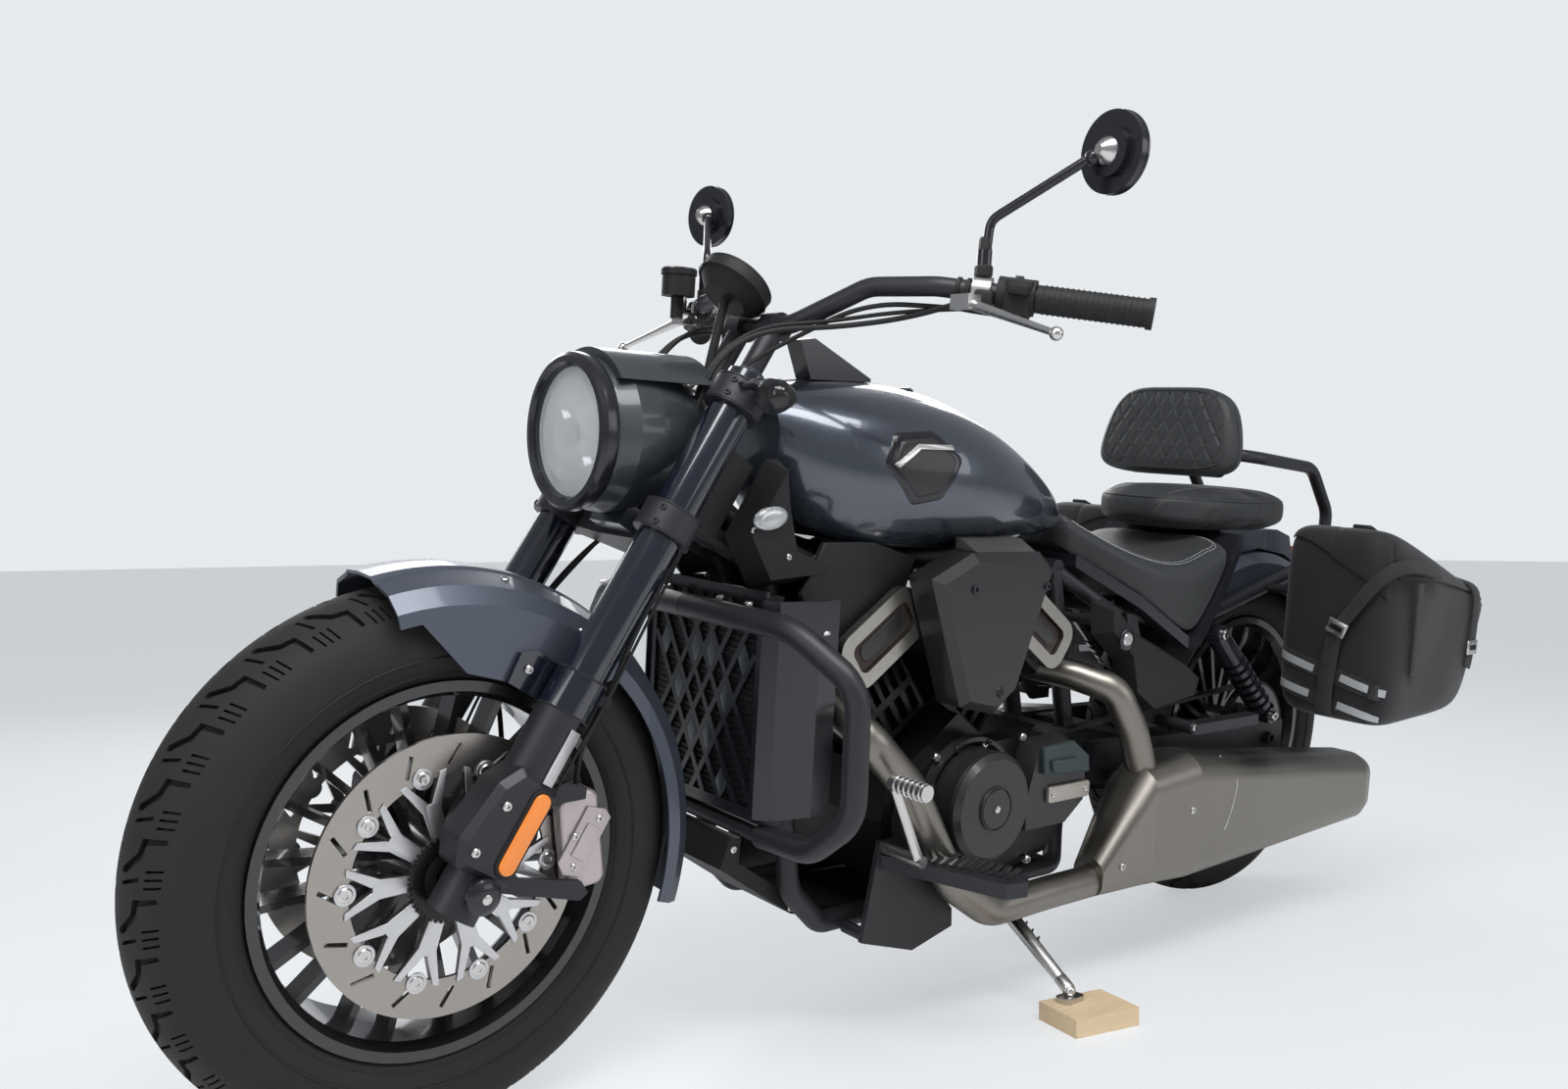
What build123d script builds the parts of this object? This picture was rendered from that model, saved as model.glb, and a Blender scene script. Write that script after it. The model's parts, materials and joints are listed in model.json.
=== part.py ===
"""A leaning V-twin cruiser motorcycle on its side stand.

Built upright first: X forward, Y to the rider's left, Z up, ground at Z = 0, X = 0 midway
between the axles. Every piece is then leaned onto the side stand and exported.
"""

import math
import os

from build123d import *

# Driving dimensions, millimetres and degrees
WHEELBASE = 1600
RAKE = 31.4
TRAIL_OFFSET = 45
LEAN = 5.5
CLEAR = 0.3

# Wheels
TYRE_R = 320
TYRE_W = 150
CROWN_R = 85
BEAD_R = 206
FLANGE_R = 216
RIM_HALF = 65
RIM_WALL = 9
HUB_R = 40
SPOKE_PAIRS = 10
SPOKE_W = 9
SPOKE_DEPTH = 34
AXLE_R = 11
AXLE_BORE_R = 7

# Brakes
DISC_R = 160
DISC_BAND = 44
DISC_T = 5
DISC_Y = 80
REAR_DISC_R = 130
ARMS = 10
ROTOR_SLOTS = 16
ROTOR_SLOT_L = 26

# Fork
LEG_Y = 120
OUTER_R = 27
STANCHION_R = 21
COVER_R = 31
LOWER_CLAMP_S = 462
UPPER_CLAMP_S = 641
CLAMP_T = 36
STEM_R = 14
OUTER_BOTTOM_S = 225
COLLAR_S = 212
COLLAR_TOP_S = 259
# Mudguard wing of each collar: (up the leg, ahead of it)
WING = ((212, 10), (212, 66), (248, 70), (259, 56), (259, 10))
LEG_TOP_S = 672

# Bars
BAR_R = 12.5
GRIP_R = 17

# Drive
PULLEY_R = 95
PINION_R = 42
BELT_T = 5
BELT_W = 16
BELT_Y = 91
PINION_X = -235
PINION_Z = 335

# Stand
BLOCK_T = 26
BLOCK_L = 110
BLOCK_W = 82

FRONT_X = WHEELBASE / 2
REAR_X = -WHEELBASE / 2
SIN = math.sin(math.radians(RAKE))
COS = math.cos(math.radians(RAKE))
SETTLE = CROWN_R * (1 - math.cos(math.radians(LEAN)))
PARKED = Location((0, 0, SETTLE), (-LEAN, 0, 0))

pieces = {}


def keep(name, part):
    """Store a finished piece under its node name."""
    pieces[name] = part


def leg(s, y=0, ahead=0):
    """Point on the fork leg line, s up from the axle, ahead along the clamp direction."""
    return (FRONT_X - SIN * s + COS * ahead, y, TYRE_R + COS * s + SIN * ahead)


def stem(s, y=0):
    """Point on the steering axis level with leg point s."""
    return leg(s, y, -TRAIL_OFFSET)


def leg_plane(s, y=0, ahead=0):
    """Plane across the fork at s: its x is forward, its z points up the leg."""
    return Plane(origin=leg(s, y, ahead), x_dir=(COS, 0, SIN), z_dir=(-SIN, 0, COS))


def about(point, direction, x_dir=None):
    """Plane at a point whose z looks along the direction."""
    return Plane(origin=point, z_dir=direction, x_dir=x_dir)


def tube(points, radii, radius, wall=0):
    """Bent round tube through points with one bend radius per inner point."""
    with BuildPart() as bent:
        with BuildLine() as path:
            if len(points) > 2:
                FilletPolyline(*points, radius=radii)
            else:
                Line(*points)
        with BuildSketch(about(path.line @ 0, path.line % 0)):
            Circle(radius)
            if wall:
                Circle(radius - wall, mode=Mode.SUBTRACT)
        sweep()
    return bent.part


def rod(start, end, radius, top=None):
    """Straight round bar or cone between two points."""
    span = Vector(*end) - Vector(*start)
    with BuildPart() as bar:
        with BuildSketch(about(start, span)):
            Circle(radius)
        if top is None:
            extrude(amount=span.length)
        else:
            with BuildSketch(about(end, span)):
                Circle(top)
            loft()
    return bar.part


def plate(outline, y, thickness):
    """Flat plate standing in the XZ plane, its inner face at y."""
    with BuildPart() as flat:
        with BuildSketch(Plane.XZ.offset(-y)):
            with BuildLine():
                Polyline(*outline, close=True)
            make_face()
        extrude(amount=-thickness)
    return flat.part


def both(part):
    """The piece and its mirror image on the other side of the machine."""
    with BuildPart() as pair:
        add(part)
        mirror(about=Plane.XZ)
    return pair.part


def joined(*parts):
    """Pieces welded or cast into one."""
    with BuildPart() as whole:
        for part in parts:
            add(part)
    return whole.part


# Wheels

def tyre(x):
    """Round-crowned tyre around the axle at x."""
    shoulder = TYRE_W / 2 - 9
    shoulder_r = TYRE_R - CROWN_R + math.sqrt(CROWN_R**2 - shoulder**2)
    belly_r = (shoulder_r + FLANGE_R) / 2 + 6
    seat = RIM_HALF - 6 - CLEAR
    with BuildPart() as body:
        with BuildSketch(Plane.YZ.offset(x)):
            with BuildLine():
                ThreePointArc((-shoulder, shoulder_r), (0, TYRE_R), (shoulder, shoulder_r))
                ThreePointArc((shoulder, shoulder_r), (TYRE_W / 2, belly_r), (seat, FLANGE_R))
                Polyline((seat, FLANGE_R), (seat - 2, BEAD_R), (2 - seat, BEAD_R), (-seat, FLANGE_R))
                ThreePointArc((-seat, FLANGE_R), (-TYRE_W / 2, belly_r), (-shoulder, shoulder_r))
            make_face()
        revolve(axis=Axis((x, 0, 0), (0, 1, 0)))
    return Location((0, 0, TYRE_R)) * body.part


def rim(x, hub_left, hub_right):
    """Cast wheel: barrel with two flanges, paired blades and a hub."""
    well = BEAD_R - CLEAR
    with BuildPart() as wheel:
        with BuildSketch(Plane.YZ.offset(x)):
            with BuildLine():
                Polyline((-RIM_HALF, FLANGE_R), (6 - RIM_HALF, FLANGE_R), (8 - RIM_HALF, well),
                         (RIM_HALF - 8, well), (RIM_HALF - 6, FLANGE_R), (RIM_HALF, FLANGE_R),
                         (RIM_HALF, FLANGE_R - 12), (RIM_HALF - 14, well - RIM_WALL),
                         (14 - RIM_HALF, well - RIM_WALL), (-RIM_HALF, FLANGE_R - 12), close=True)
            make_face()
        revolve(axis=Axis((x, 0, 0), (0, 1, 0)))
        with BuildSketch(Plane.XZ.offset(SPOKE_DEPTH / 2)):
            with Locations((x, 0)):
                with PolarLocations(0, SPOKE_PAIRS):
                    for side in (-1, 1):
                        Polygon((HUB_R - 6, side * 6), (well - RIM_WALL + 2, side * 22),
                                (well - RIM_WALL + 2, side * (22 + SPOKE_W)),
                                (HUB_R - 6, side * (6 + SPOKE_W)), align=None)
        extrude(amount=-SPOKE_DEPTH)
        with BuildSketch(Plane.XZ.offset(hub_right)):
            with Locations((x, 0)):
                Circle(HUB_R)
        extrude(amount=-(hub_left + hub_right))
        with BuildSketch(Plane.XZ.offset(hub_right)):
            with Locations((x, 0)):
                Circle(AXLE_R + CLEAR)
        extrude(amount=-(hub_left + hub_right), mode=Mode.SUBTRACT)
    return Location((0, 0, TYRE_R)) * wheel.part


def disc(x, y, radius, arms):
    """Brake disc: a slotted band carried on forked arms from its centre ring."""
    inner = radius - DISC_BAND
    with BuildPart() as rotor:
        with BuildSketch(Plane.XZ.offset(-(y - DISC_T / 2))):
            with Locations((x, TYRE_R)):
                Circle(radius)
                Circle(inner, mode=Mode.SUBTRACT)
                Circle(48)
                with PolarLocations(0, arms):
                    for side in (-1, 1):
                        Polygon((44, side * 2), (inner - 24, side * 3), (inner + 5, side * 20),
                                (inner + 5, side * 28), (inner - 34, side * 11), (44, side * 9), align=None)
                Circle(AXLE_R + 6, mode=Mode.SUBTRACT)
                with PolarLocations(radius - DISC_BAND / 2, ROTOR_SLOTS):
                    Rectangle(ROTOR_SLOT_L, 5, rotation=32, mode=Mode.SUBTRACT)
        extrude(amount=-DISC_T)
    return rotor.part


keep("front_tyre", tyre(FRONT_X))
keep("rear_tyre", tyre(REAR_X))
keep("front_rim", rim(FRONT_X, DISC_Y - DISC_T / 2, DISC_Y - DISC_T / 2))
keep("front_discs", both(disc(FRONT_X, DISC_Y, DISC_R, ARMS)))
keep("rear_disc", disc(REAR_X, -DISC_Y, REAR_DISC_R, ARMS))

with BuildPart() as pulley:
    with BuildSketch(Plane.XZ.offset(-(BELT_Y - BELT_W / 2))):
        with Locations((REAR_X, TYRE_R)):
            Circle(PULLEY_R)
            Circle(AXLE_R + 6, mode=Mode.SUBTRACT)
            with PolarLocations(66, 5):
                Circle(17, mode=Mode.SUBTRACT)
    extrude(amount=-BELT_W)
keep("rear_rim", joined(rim(REAR_X, BELT_Y - BELT_W / 2, DISC_Y - DISC_T / 2), pulley.part))

# Belt: one loop round the wheel pulley and the gearbox pinion
with BuildPart() as belt:
    with BuildSketch(Plane.XZ.offset(-(BELT_Y - BELT_W / 2))) as loop:
        for thick, mode in ((BELT_T + CLEAR, Mode.ADD), (CLEAR, Mode.SUBTRACT)):
            gap = math.hypot(PINION_X - REAR_X, PINION_Z - TYRE_R)
            slope = math.degrees(math.atan2(PINION_Z - TYRE_R, PINION_X - REAR_X))
            lean_in = math.degrees(math.asin((PULLEY_R - PINION_R) / gap))
            big = Vector(REAR_X, TYRE_R)
            small = Vector(PINION_X, PINION_Z)
            up = Vector(1, 0).rotate(Axis.Z, slope + 90 - lean_in)
            down = Vector(1, 0).rotate(Axis.Z, slope - 90 + lean_in)
            back = Vector(1, 0).rotate(Axis.Z, slope + 180)
            wide = PULLEY_R + thick
            tight = PINION_R + thick
            with BuildLine():
                Line(big + up * wide, small + up * tight)
                ThreePointArc(small + up * tight, small - back * tight, small + down * tight)
                Line(small + down * tight, big + down * wide)
                ThreePointArc(big + down * wide, big + back * wide, big + up * wide)
            make_face(mode=mode)
    extrude(amount=-BELT_W)
keep("drive_belt", belt.part)


# Fork, clamps and steering

def clamp(s, front):
    """Fork clamp: two eyes and the bridge round the steering stem."""
    with BuildPart() as bridge:
        with BuildSketch(leg_plane(s - CLAMP_T / 2)):
            with BuildLine():
                Polyline((-4, LEG_Y - 20), (front, 40), (front, -40), (-4, 20 - LEG_Y), (-OUTER_R, -LEG_Y),
                         (-TRAIL_OFFSET - 28, -34), (-TRAIL_OFFSET - 28, 34), (-OUTER_R, LEG_Y), close=True)
            make_face()
            with Locations((0, LEG_Y), (0, -LEG_Y)):
                Circle(OUTER_R + 9)
            with Locations((0, LEG_Y), (0, -LEG_Y)):
                Circle(OUTER_R, mode=Mode.SUBTRACT)
        extrude(amount=CLAMP_T)
    return bridge.part


CLAMP_FRONT = -16
stem_tube = rod(stem(LOWER_CLAMP_S), stem(UPPER_CLAMP_S + CLAMP_T / 2 + 12), STEM_R)
keep("fork_clamps", joined(clamp(LOWER_CLAMP_S, CLAMP_FRONT), clamp(UPPER_CLAMP_S, CLAMP_FRONT), stem_tube))

with BuildPart() as outer_tube:
    with BuildSketch(leg_plane(OUTER_BOTTOM_S, LEG_Y)):
        Circle(OUTER_R)
    extrude(amount=LEG_TOP_S - OUTER_BOTTOM_S)
    with BuildSketch(leg_plane(COLLAR_S, LEG_Y)):
        Circle(OUTER_R + 4)
        Circle(STANCHION_R + CLEAR, mode=Mode.SUBTRACT)
    extrude(amount=OUTER_BOTTOM_S - COLLAR_S)
    with BuildSketch(leg_plane(OUTER_BOTTOM_S, LEG_Y)):
        Circle(OUTER_R + 4)
    extrude(amount=COLLAR_TOP_S - OUTER_BOTTOM_S)
    with BuildSketch(Plane.XZ.offset(-(LEG_Y - OUTER_R - 4))):
        with BuildLine():
            Polyline(*[leg(up, 0, ahead)[::2] for up, ahead in WING], close=True)
        make_face()
    extrude(amount=-7)
    with BuildSketch(leg_plane(OUTER_BOTTOM_S - 20, LEG_Y)):
        Circle(STANCHION_R + CLEAR)
    extrude(amount=20, mode=Mode.SUBTRACT)
    with BuildSketch(leg_plane(LEG_TOP_S, LEG_Y)):
        RegularPolygon(17, 6)
    extrude(amount=9)
keep("fork_tubes", both(outer_tube.part))

# Lower legs: bright inner tube, dark cover and the axle clamp
with BuildPart() as stanchion:
    with BuildSketch(leg_plane(20, LEG_Y)):
        Circle(STANCHION_R)
    extrude(amount=OUTER_BOTTOM_S - 20)
keep("fork_stanchions", both(stanchion.part))

COVER_IN_Y = DISC_Y + DISC_T / 2 + 7
with BuildPart() as cover:
    with BuildSketch(leg_plane(24, LEG_Y)):
        Circle(COVER_R)
        Circle(STANCHION_R + CLEAR, mode=Mode.SUBTRACT)
        with Locations((-COVER_R, 4)):
            Rectangle(2 * COVER_R - 16, 2 * COVER_R + 20, mode=Mode.SUBTRACT)
        with Locations((0, COVER_IN_Y - LEG_Y - COVER_R)):
            Rectangle(3 * COVER_R, 2 * COVER_R, mode=Mode.SUBTRACT)
    extrude(amount=COLLAR_S - CLEAR - 24)
    with BuildSketch(leg_plane(-34, LEG_Y)):
        Circle(COVER_R - 2)
        with Locations((0, COVER_IN_Y - LEG_Y - COVER_R)):
            Rectangle(3 * COVER_R, 2 * COVER_R, mode=Mode.SUBTRACT)
    extrude(amount=54 - CLEAR)
    with BuildSketch(leg_plane(20 - CLEAR, LEG_Y)):
        Circle(COVER_R - 2)
        Circle(STANCHION_R + CLEAR, mode=Mode.SUBTRACT)
        with Locations((0, COVER_IN_Y - LEG_Y - COVER_R)):
            Rectangle(3 * COVER_R, 2 * COVER_R, mode=Mode.SUBTRACT)
    extrude(amount=20)
    with BuildSketch(Plane.XZ.offset(-(COVER_IN_Y))):
        with Locations((FRONT_X, TYRE_R)):
            Circle(AXLE_R + CLEAR)
    extrude(amount=-100, mode=Mode.SUBTRACT)

# Broad outer guard of each leg: (up the leg, ahead of it), then its two faces
GUARD_OUTLINE = ((14, -30), (132, -30), (140, 26), (112, 44), (42, 54), (14, 40))
CALIPER_OUT = DISC_Y + 24
GUARD_IN_Y = CALIPER_OUT + 1.5
GUARD_OUT_Y = LEG_Y + COVER_R - 4
with BuildPart() as leg_guard:
    with BuildSketch(Plane.XZ.offset(-GUARD_IN_Y)):
        with BuildLine():
            Polyline(*[leg(up, 0, ahead)[::2] for up, ahead in GUARD_OUTLINE], close=True)
        make_face()
        fillet(vertices(), 9)
    extrude(amount=GUARD_IN_Y - GUARD_OUT_Y)
    with BuildSketch(Plane.XZ.offset(-GUARD_OUT_Y)):
        with BuildLine():
            Polyline(*[leg(up, 0, ahead)[::2] for up, ahead in GUARD_OUTLINE], close=True)
        make_face()
        fillet(vertices(), 9)
    extrude(amount=-8, taper=45)
    with BuildSketch(leg_plane(20 - CLEAR, LEG_Y)):
        Circle(STANCHION_R + CLEAR)
    extrude(amount=200, mode=Mode.SUBTRACT)

# Caliper bracket outline: (up the leg, ahead of it), two arms from the axle clamp to the caliper's ends
BRACKET = ((-18, 8), (19, 8), (19, -23), (112, -23), (148, -56), (154, -84), (142, -90), (126, -66), (104, -42),
           (38, -42), (30, -62), (58, -140), (50, -156), (38, -152), (8, -52), (-18, -12))
with BuildPart() as bracket:
    with BuildSketch(Plane.XZ.offset(-(CALIPER_OUT + CLEAR))):
        with BuildLine():
            Polyline(*[leg(up, 0, ahead)[::2] for up, ahead in BRACKET], close=True)
        make_face()
    extrude(amount=-8)

with BuildPart() as axle:
    reach = LEG_Y + COVER_R + 8
    with BuildSketch(Plane.XZ.offset(reach)):
        with Locations((FRONT_X, TYRE_R)):
            Circle(AXLE_R)
    extrude(amount=-2 * reach)
    for side in (-1, 1):
        with BuildSketch(Plane.XZ.offset(-side * (LEG_Y + COVER_R - 1))):
            with Locations((FRONT_X, TYRE_R)):
                RegularPolygon(17, 6)
        extrude(amount=-side * 10)
bore = rod((FRONT_X, -reach - 2, TYRE_R), (FRONT_X, reach + 2, TYRE_R), AXLE_BORE_R)
keep("fork_lowers", joined(both(cover.part), both(leg_guard.part), both(bracket.part), axle.part) - bore)

# Front calipers: radial blocks over the disc behind each leg
CALIPER_ANGLE = 172
CALIPER_MID = DISC_R - 4
with BuildPart() as caliper:
    turned = Plane.XZ.offset(24 - DISC_Y)
    with BuildSketch(turned):
        with Locations((FRONT_X, TYRE_R)):
            with PolarLocations(CALIPER_MID, 1, start_angle=CALIPER_ANGLE):
                RectangleRounded(54, 118, 14)
    extrude(amount=-48)
    fillet(caliper.faces().filter_by(Axis.Y).edges(), 7)
    with BuildSketch(Plane.XZ.offset(-(DISC_Y - DISC_T / 2 - 5))):
        with Locations((FRONT_X, TYRE_R)):
            Circle(DISC_R + 5.5)
    extrude(amount=-(DISC_T + 10), mode=Mode.SUBTRACT)
keep("front_calipers", both(caliper.part))

# Front mudguard: creased band round the wheel with side ears down to the fork
FENDER_R = TYRE_R + 20
FENDER_T = 4
FENDER_Y = LEG_Y - OUTER_R - 4 - CLEAR - FENDER_T
FENDER_FRONT = 76
FENDER_REAR = 196


def at_wheel(x, radius, angle):
    """Point in the wheel plane at an angle up from straight ahead."""
    turn = math.radians(angle)
    return (x + radius * math.cos(turn), TYRE_R + radius * math.sin(turn))


with BuildPart() as fender:
    lift = math.radians(FENDER_FRONT)
    start = Plane(origin=(FRONT_X, 0, TYRE_R), x_dir=(0, 1, 0),
                  z_dir=(math.sin(lift), 0, -math.cos(lift)))
    with BuildSketch(start):
        with BuildLine():
            Polyline((0, FENDER_R + 3), (34, FENDER_R + 1), (40, FENDER_R - 3), (74, FENDER_R - 16),
                     (FENDER_Y + FENDER_T, FENDER_R - 36), (FENDER_Y + FENDER_T, FENDER_R - 52),
                     (FENDER_Y, FENDER_R - 52), (FENDER_Y, FENDER_R - 37), (72, FENDER_R - 20),
                     (38, FENDER_R - 7), (33, FENDER_R - 3), (0, FENDER_R - 1), close=True)
        make_face()
        mirror(about=Plane.YZ)
    revolve(axis=Axis((FRONT_X, 0, TYRE_R), (0, -1, 0)), revolution_arc=FENDER_REAR - FENDER_FRONT)
    # (radius below the rim line, angle) round the ear
    ear = ((FENDER_R - 45, 80), (FENDER_R - 112, 92), (FENDER_R - 116, 112), (FENDER_R - 80, 130),
           (FENDER_R - 50, 134), (FENDER_R - 45, 118), (FENDER_R - 45, 98))
    for side in (-1, 1):
        with BuildSketch(Plane.XZ.offset(-side * FENDER_Y)):
            with BuildLine():
                Polyline(*[at_wheel(FRONT_X, radius, angle) for radius, angle in ear], close=True)
            make_face()
        extrude(amount=-side * FENDER_T)
keep("front_fender", fender.part)

# Headlamp
LAMP_Z = 817
LAMP_FRONT = 628
# (x, radius) along the shell, front to back
LAMP_PROFILE = ((LAMP_FRONT, 80), (LAMP_FRONT, 88), (610, 93), (585, 98), (550, 95), (518, 89),
                (488, 80), (462, 66), (462, 0), (566, 0), (598, 62), (LAMP_FRONT - 13, 79))
LAMP_BACK = -4
with BuildPart() as lamp_shell:
    with BuildSketch(Plane.XZ):
        with BuildLine():
            Polyline(*[(x, LAMP_Z + radius) for x, radius in LAMP_PROFILE], close=True)
        make_face()
    revolve(axis=Axis((0, 0, LAMP_Z), (1, 0, 0)))
    with BuildSketch(Plane.YZ.offset(468)):
        with Locations((0, LAMP_Z)):
            Circle(104)
            Circle(84, mode=Mode.SUBTRACT)
        with Locations((0, LAMP_Z - 54)):
            Rectangle(240, 240, mode=Mode.SUBTRACT)
    extrude(amount=138)
    with BuildSketch(leg_plane(UPPER_CLAMP_S - 300, 0, LAMP_BACK - 100)):
        Rectangle(200, 260)
    extrude(amount=500, mode=Mode.SUBTRACT)
    with BuildSketch(leg_plane(LOWER_CLAMP_S - 12, 0, CLAMP_FRONT + CLEAR + 12)):
        Rectangle(24, 70)
    extrude(amount=30)
keep("lamp_shell", lamp_shell.part)

with BuildPart() as lamp_lens:
    with BuildSketch(Plane.XZ):
        with BuildLine():
            Polyline((LAMP_FRONT - 10, LAMP_Z), (LAMP_FRONT - 10, LAMP_Z + 78.8), (LAMP_FRONT - 4, LAMP_Z + 78.8),
                     (LAMP_FRONT + 1, LAMP_Z + 60), (LAMP_FRONT + 4, LAMP_Z + 30), (LAMP_FRONT + 5, LAMP_Z),
                     close=True)
        make_face()
    revolve(axis=Axis((0, 0, LAMP_Z), (1, 0, 0)))
keep("lamp_lens", lamp_lens.part)

# Handlebar: (x, y, z) of the left half from the middle outwards, then the bend radii
BAR_ROUTE = ((346, 0, 968), (342, 62, 970), (296, 160, 1020), (262, 245, 1020), (118, 452, 994))
BAR_BENDS = (60, 60, 60)
RISER_Y = 36
RISER_AHEAD = -50
RISER_H = 124
with BuildPart() as bar:
    half = tube(BAR_ROUTE, BAR_BENDS, BAR_R)
    add(half)
    mirror(about=Plane.XZ)
    for side in (-1, 1):
        with BuildSketch(leg_plane(UPPER_CLAMP_S + CLAMP_T / 2 + CLEAR, side * RISER_Y, RISER_AHEAD)):
            Circle(15)
        extrude(amount=RISER_H)
        with BuildSketch(Plane.XZ.offset(14 - side * RISER_Y)):
            with Locations(BAR_ROUTE[0][::2]):
                Circle(19)
        extrude(amount=-28)
keep("handlebar", bar.part)

GRIP_DIR = (Vector(*BAR_ROUTE[4]) - Vector(*BAR_ROUTE[3])).normalized()
BAR_END = Vector(*BAR_ROUTE[4])


def on_grip(back, ahead=0, up=0):
    """Point on the left grip line, back from the bar end, ahead of it and above it."""
    side = Vector(0, 0, 1).cross(GRIP_DIR).normalized() * -1
    return BAR_END - GRIP_DIR * back + side * ahead + Vector(0, 0, up)


with BuildPart() as grip:
    with BuildSketch(about(on_grip(-6), -GRIP_DIR)):
        Circle(GRIP_R)
        Circle(BAR_R + CLEAR, mode=Mode.SUBTRACT)
    extrude(amount=136)
    with BuildSketch(about(on_grip(-8), -GRIP_DIR)):
        Circle(GRIP_R + 2)
    extrude(amount=7.7)
    with BuildSketch(about(on_grip(132), -GRIP_DIR)):
        Circle(22)
        Circle(BAR_R + CLEAR, mode=Mode.SUBTRACT)
    extrude(amount=46)
keep("grips", both(grip.part))

# Levers with their perches, the right one under a brake fluid reservoir
PERCH = on_grip(196)
LEVER_PIVOT = PERCH + Vector(32, 4, -16)
LEVER_TIP = Vector(275, 447, 956)
with BuildPart() as lever:
    add(rod(LEVER_PIVOT, LEVER_PIVOT + (LEVER_TIP - LEVER_PIVOT) * 0.55, 7, 5))
    add(rod(LEVER_PIVOT + (LEVER_TIP - LEVER_PIVOT) * 0.55, LEVER_TIP, 5, 4))
    with Locations(LEVER_TIP):
        Sphere(8)
    with Locations(LEVER_PIVOT):
        Box(26, 30, 18)
    with BuildSketch(about(on_grip(186), -GRIP_DIR)):
        Circle(19)
        Circle(BAR_R + CLEAR, mode=Mode.SUBTRACT)
    extrude(amount=22)

with BuildPart() as reservoir:
    with BuildSketch(Plane(origin=(LEVER_PIVOT.X + 8, -LEVER_PIVOT.Y, LEVER_PIVOT.Z))):
        Circle(10)
    extrude(amount=40)
    with BuildSketch(Plane(origin=(LEVER_PIVOT.X + 14, -LEVER_PIVOT.Y, LEVER_PIVOT.Z + 34))):
        Circle(25)
    extrude(amount=32)
    with BuildSketch(Plane(origin=(LEVER_PIVOT.X + 14, -LEVER_PIVOT.Y, LEVER_PIVOT.Z + 66))):
        Circle(27)
    extrude(amount=9)
keep("levers", joined(both(lever.part), reservoir.part))

# Mirrors: cranked stalk and round head
MIRROR_BASE = on_grip(197, 0, 19 + 1.5)
MIRROR_HEAD = Vector(140, 405, 1182)
with BuildPart() as mirror_piece:
    add(tube((MIRROR_BASE + Vector(0, 0, 4), MIRROR_BASE + Vector(-4, 2, 66), MIRROR_HEAD + Vector(24, -22, -10)),
             (22,), 6))
    add(rod(MIRROR_BASE, MIRROR_BASE + Vector(0, 0, 30), 9))
    with BuildSketch(about(MIRROR_HEAD + Vector(16, 0, 0), (-1, 0.12, 0.04))):
        Circle(30)
    extrude(amount=9)
    with BuildSketch(about(MIRROR_HEAD + Vector(8, 0, 0), (-1, 0.12, 0.04))):
        Circle(49)
    extrude(amount=11)
    with Locations(MIRROR_HEAD + Vector(20, -16, -7)):
        Sphere(10)
keep("mirrors", both(mirror_piece.part))

# Round instrument over the bar clamps
DIAL = Vector(392, 0, 1014)
DIAL_AXIS = Vector(-0.62, 0, 0.78)
STALK_AHEAD = -23
STALK_R = 6
with BuildPart() as instrument:
    with BuildSketch(about(DIAL - DIAL_AXIS * 20, DIAL_AXIS)):
        Circle(30)
    with BuildSketch(about(DIAL, DIAL_AXIS)):
        Circle(50)
    loft()
    with BuildSketch(about(DIAL, DIAL_AXIS)):
        Circle(50)
    extrude(amount=16)
    with BuildSketch(about(DIAL + DIAL_AXIS * 16, DIAL_AXIS)):
        Circle(44)
    extrude(amount=-5, mode=Mode.SUBTRACT)
    with BuildSketch(leg_plane(UPPER_CLAMP_S + CLAMP_T / 2 + CLEAR, 0, STALK_AHEAD)):
        Circle(STALK_R)
    extrude(amount=20)
    add(rod(leg(UPPER_CLAMP_S + CLAMP_T / 2 + 14, 0, STALK_AHEAD), DIAL - DIAL_AXIS * 18, STALK_R))
keep("instrument", instrument.part)

# Turn signals on the fork just under the upper clamp
SIGNAL = Vector(*leg(UPPER_CLAMP_S + 6, LEG_Y + 66, 0))
with BuildPart() as signal:
    add(rod((SIGNAL.X, LEG_Y + OUTER_R + 9 + CLEAR, SIGNAL.Z), (SIGNAL.X, SIGNAL.Y, SIGNAL.Z), 7))
    with BuildSketch(Plane.YZ.offset(SIGNAL.X - 26)):
        with Locations((SIGNAL.Y, SIGNAL.Z)):
            Ellipse(20, 14)
    with BuildSketch(Plane.YZ.offset(SIGNAL.X + 6)):
        with Locations((SIGNAL.Y, SIGNAL.Z)):
            Ellipse(28, 21)
    loft()
    with BuildSketch(Plane.YZ.offset(SIGNAL.X + 6)):
        with Locations((SIGNAL.Y, SIGNAL.Z)):
            Ellipse(28, 21)
    with BuildSketch(Plane.YZ.offset(SIGNAL.X + 18)):
        with Locations((SIGNAL.Y, SIGNAL.Z)):
            Ellipse(24, 16)
    loft()
keep("turn_signals", both(signal.part))

# Side stand geometry: the leg turns about an axis square to it and to its way of folding
ARM_IN = BELT_Y + BELT_W / 2 + 6
ARM_T = 24
UP = Vector(0, 0, 1).rotate(Axis.X, LEAN)
FOOT = Vector(-50, 295, BLOCK_T + CLEAR - SETTLE).rotate(Axis.X, LEAN)
PIVOT = Vector(-75, 130, 142)
ANKLE = FOOT + UP * 14
STAND_DIR = (ANKLE - PIVOT).normalized()
FOLD = UP.cross(STAND_DIR).normalized() - UP * 0.004
STAND_AXIS = STAND_DIR.cross(FOLD).normalized()

SHOCK_TOP = (-572, 530)
SHOCK_LOW = (-752, 372)
SHOCK_Y = 149
SHOCK_IN = ARM_IN + ARM_T + CLEAR
NECK_IN = 74
SIDE_COVER_IN = 132
BAG_IN = 172
TANK_LOW = 684
SEAT_CHANNEL_Z = 604
BUMPER_LOW = 328
RAD_X = 372
BUMPER_X = RAD_X + 24

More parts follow.
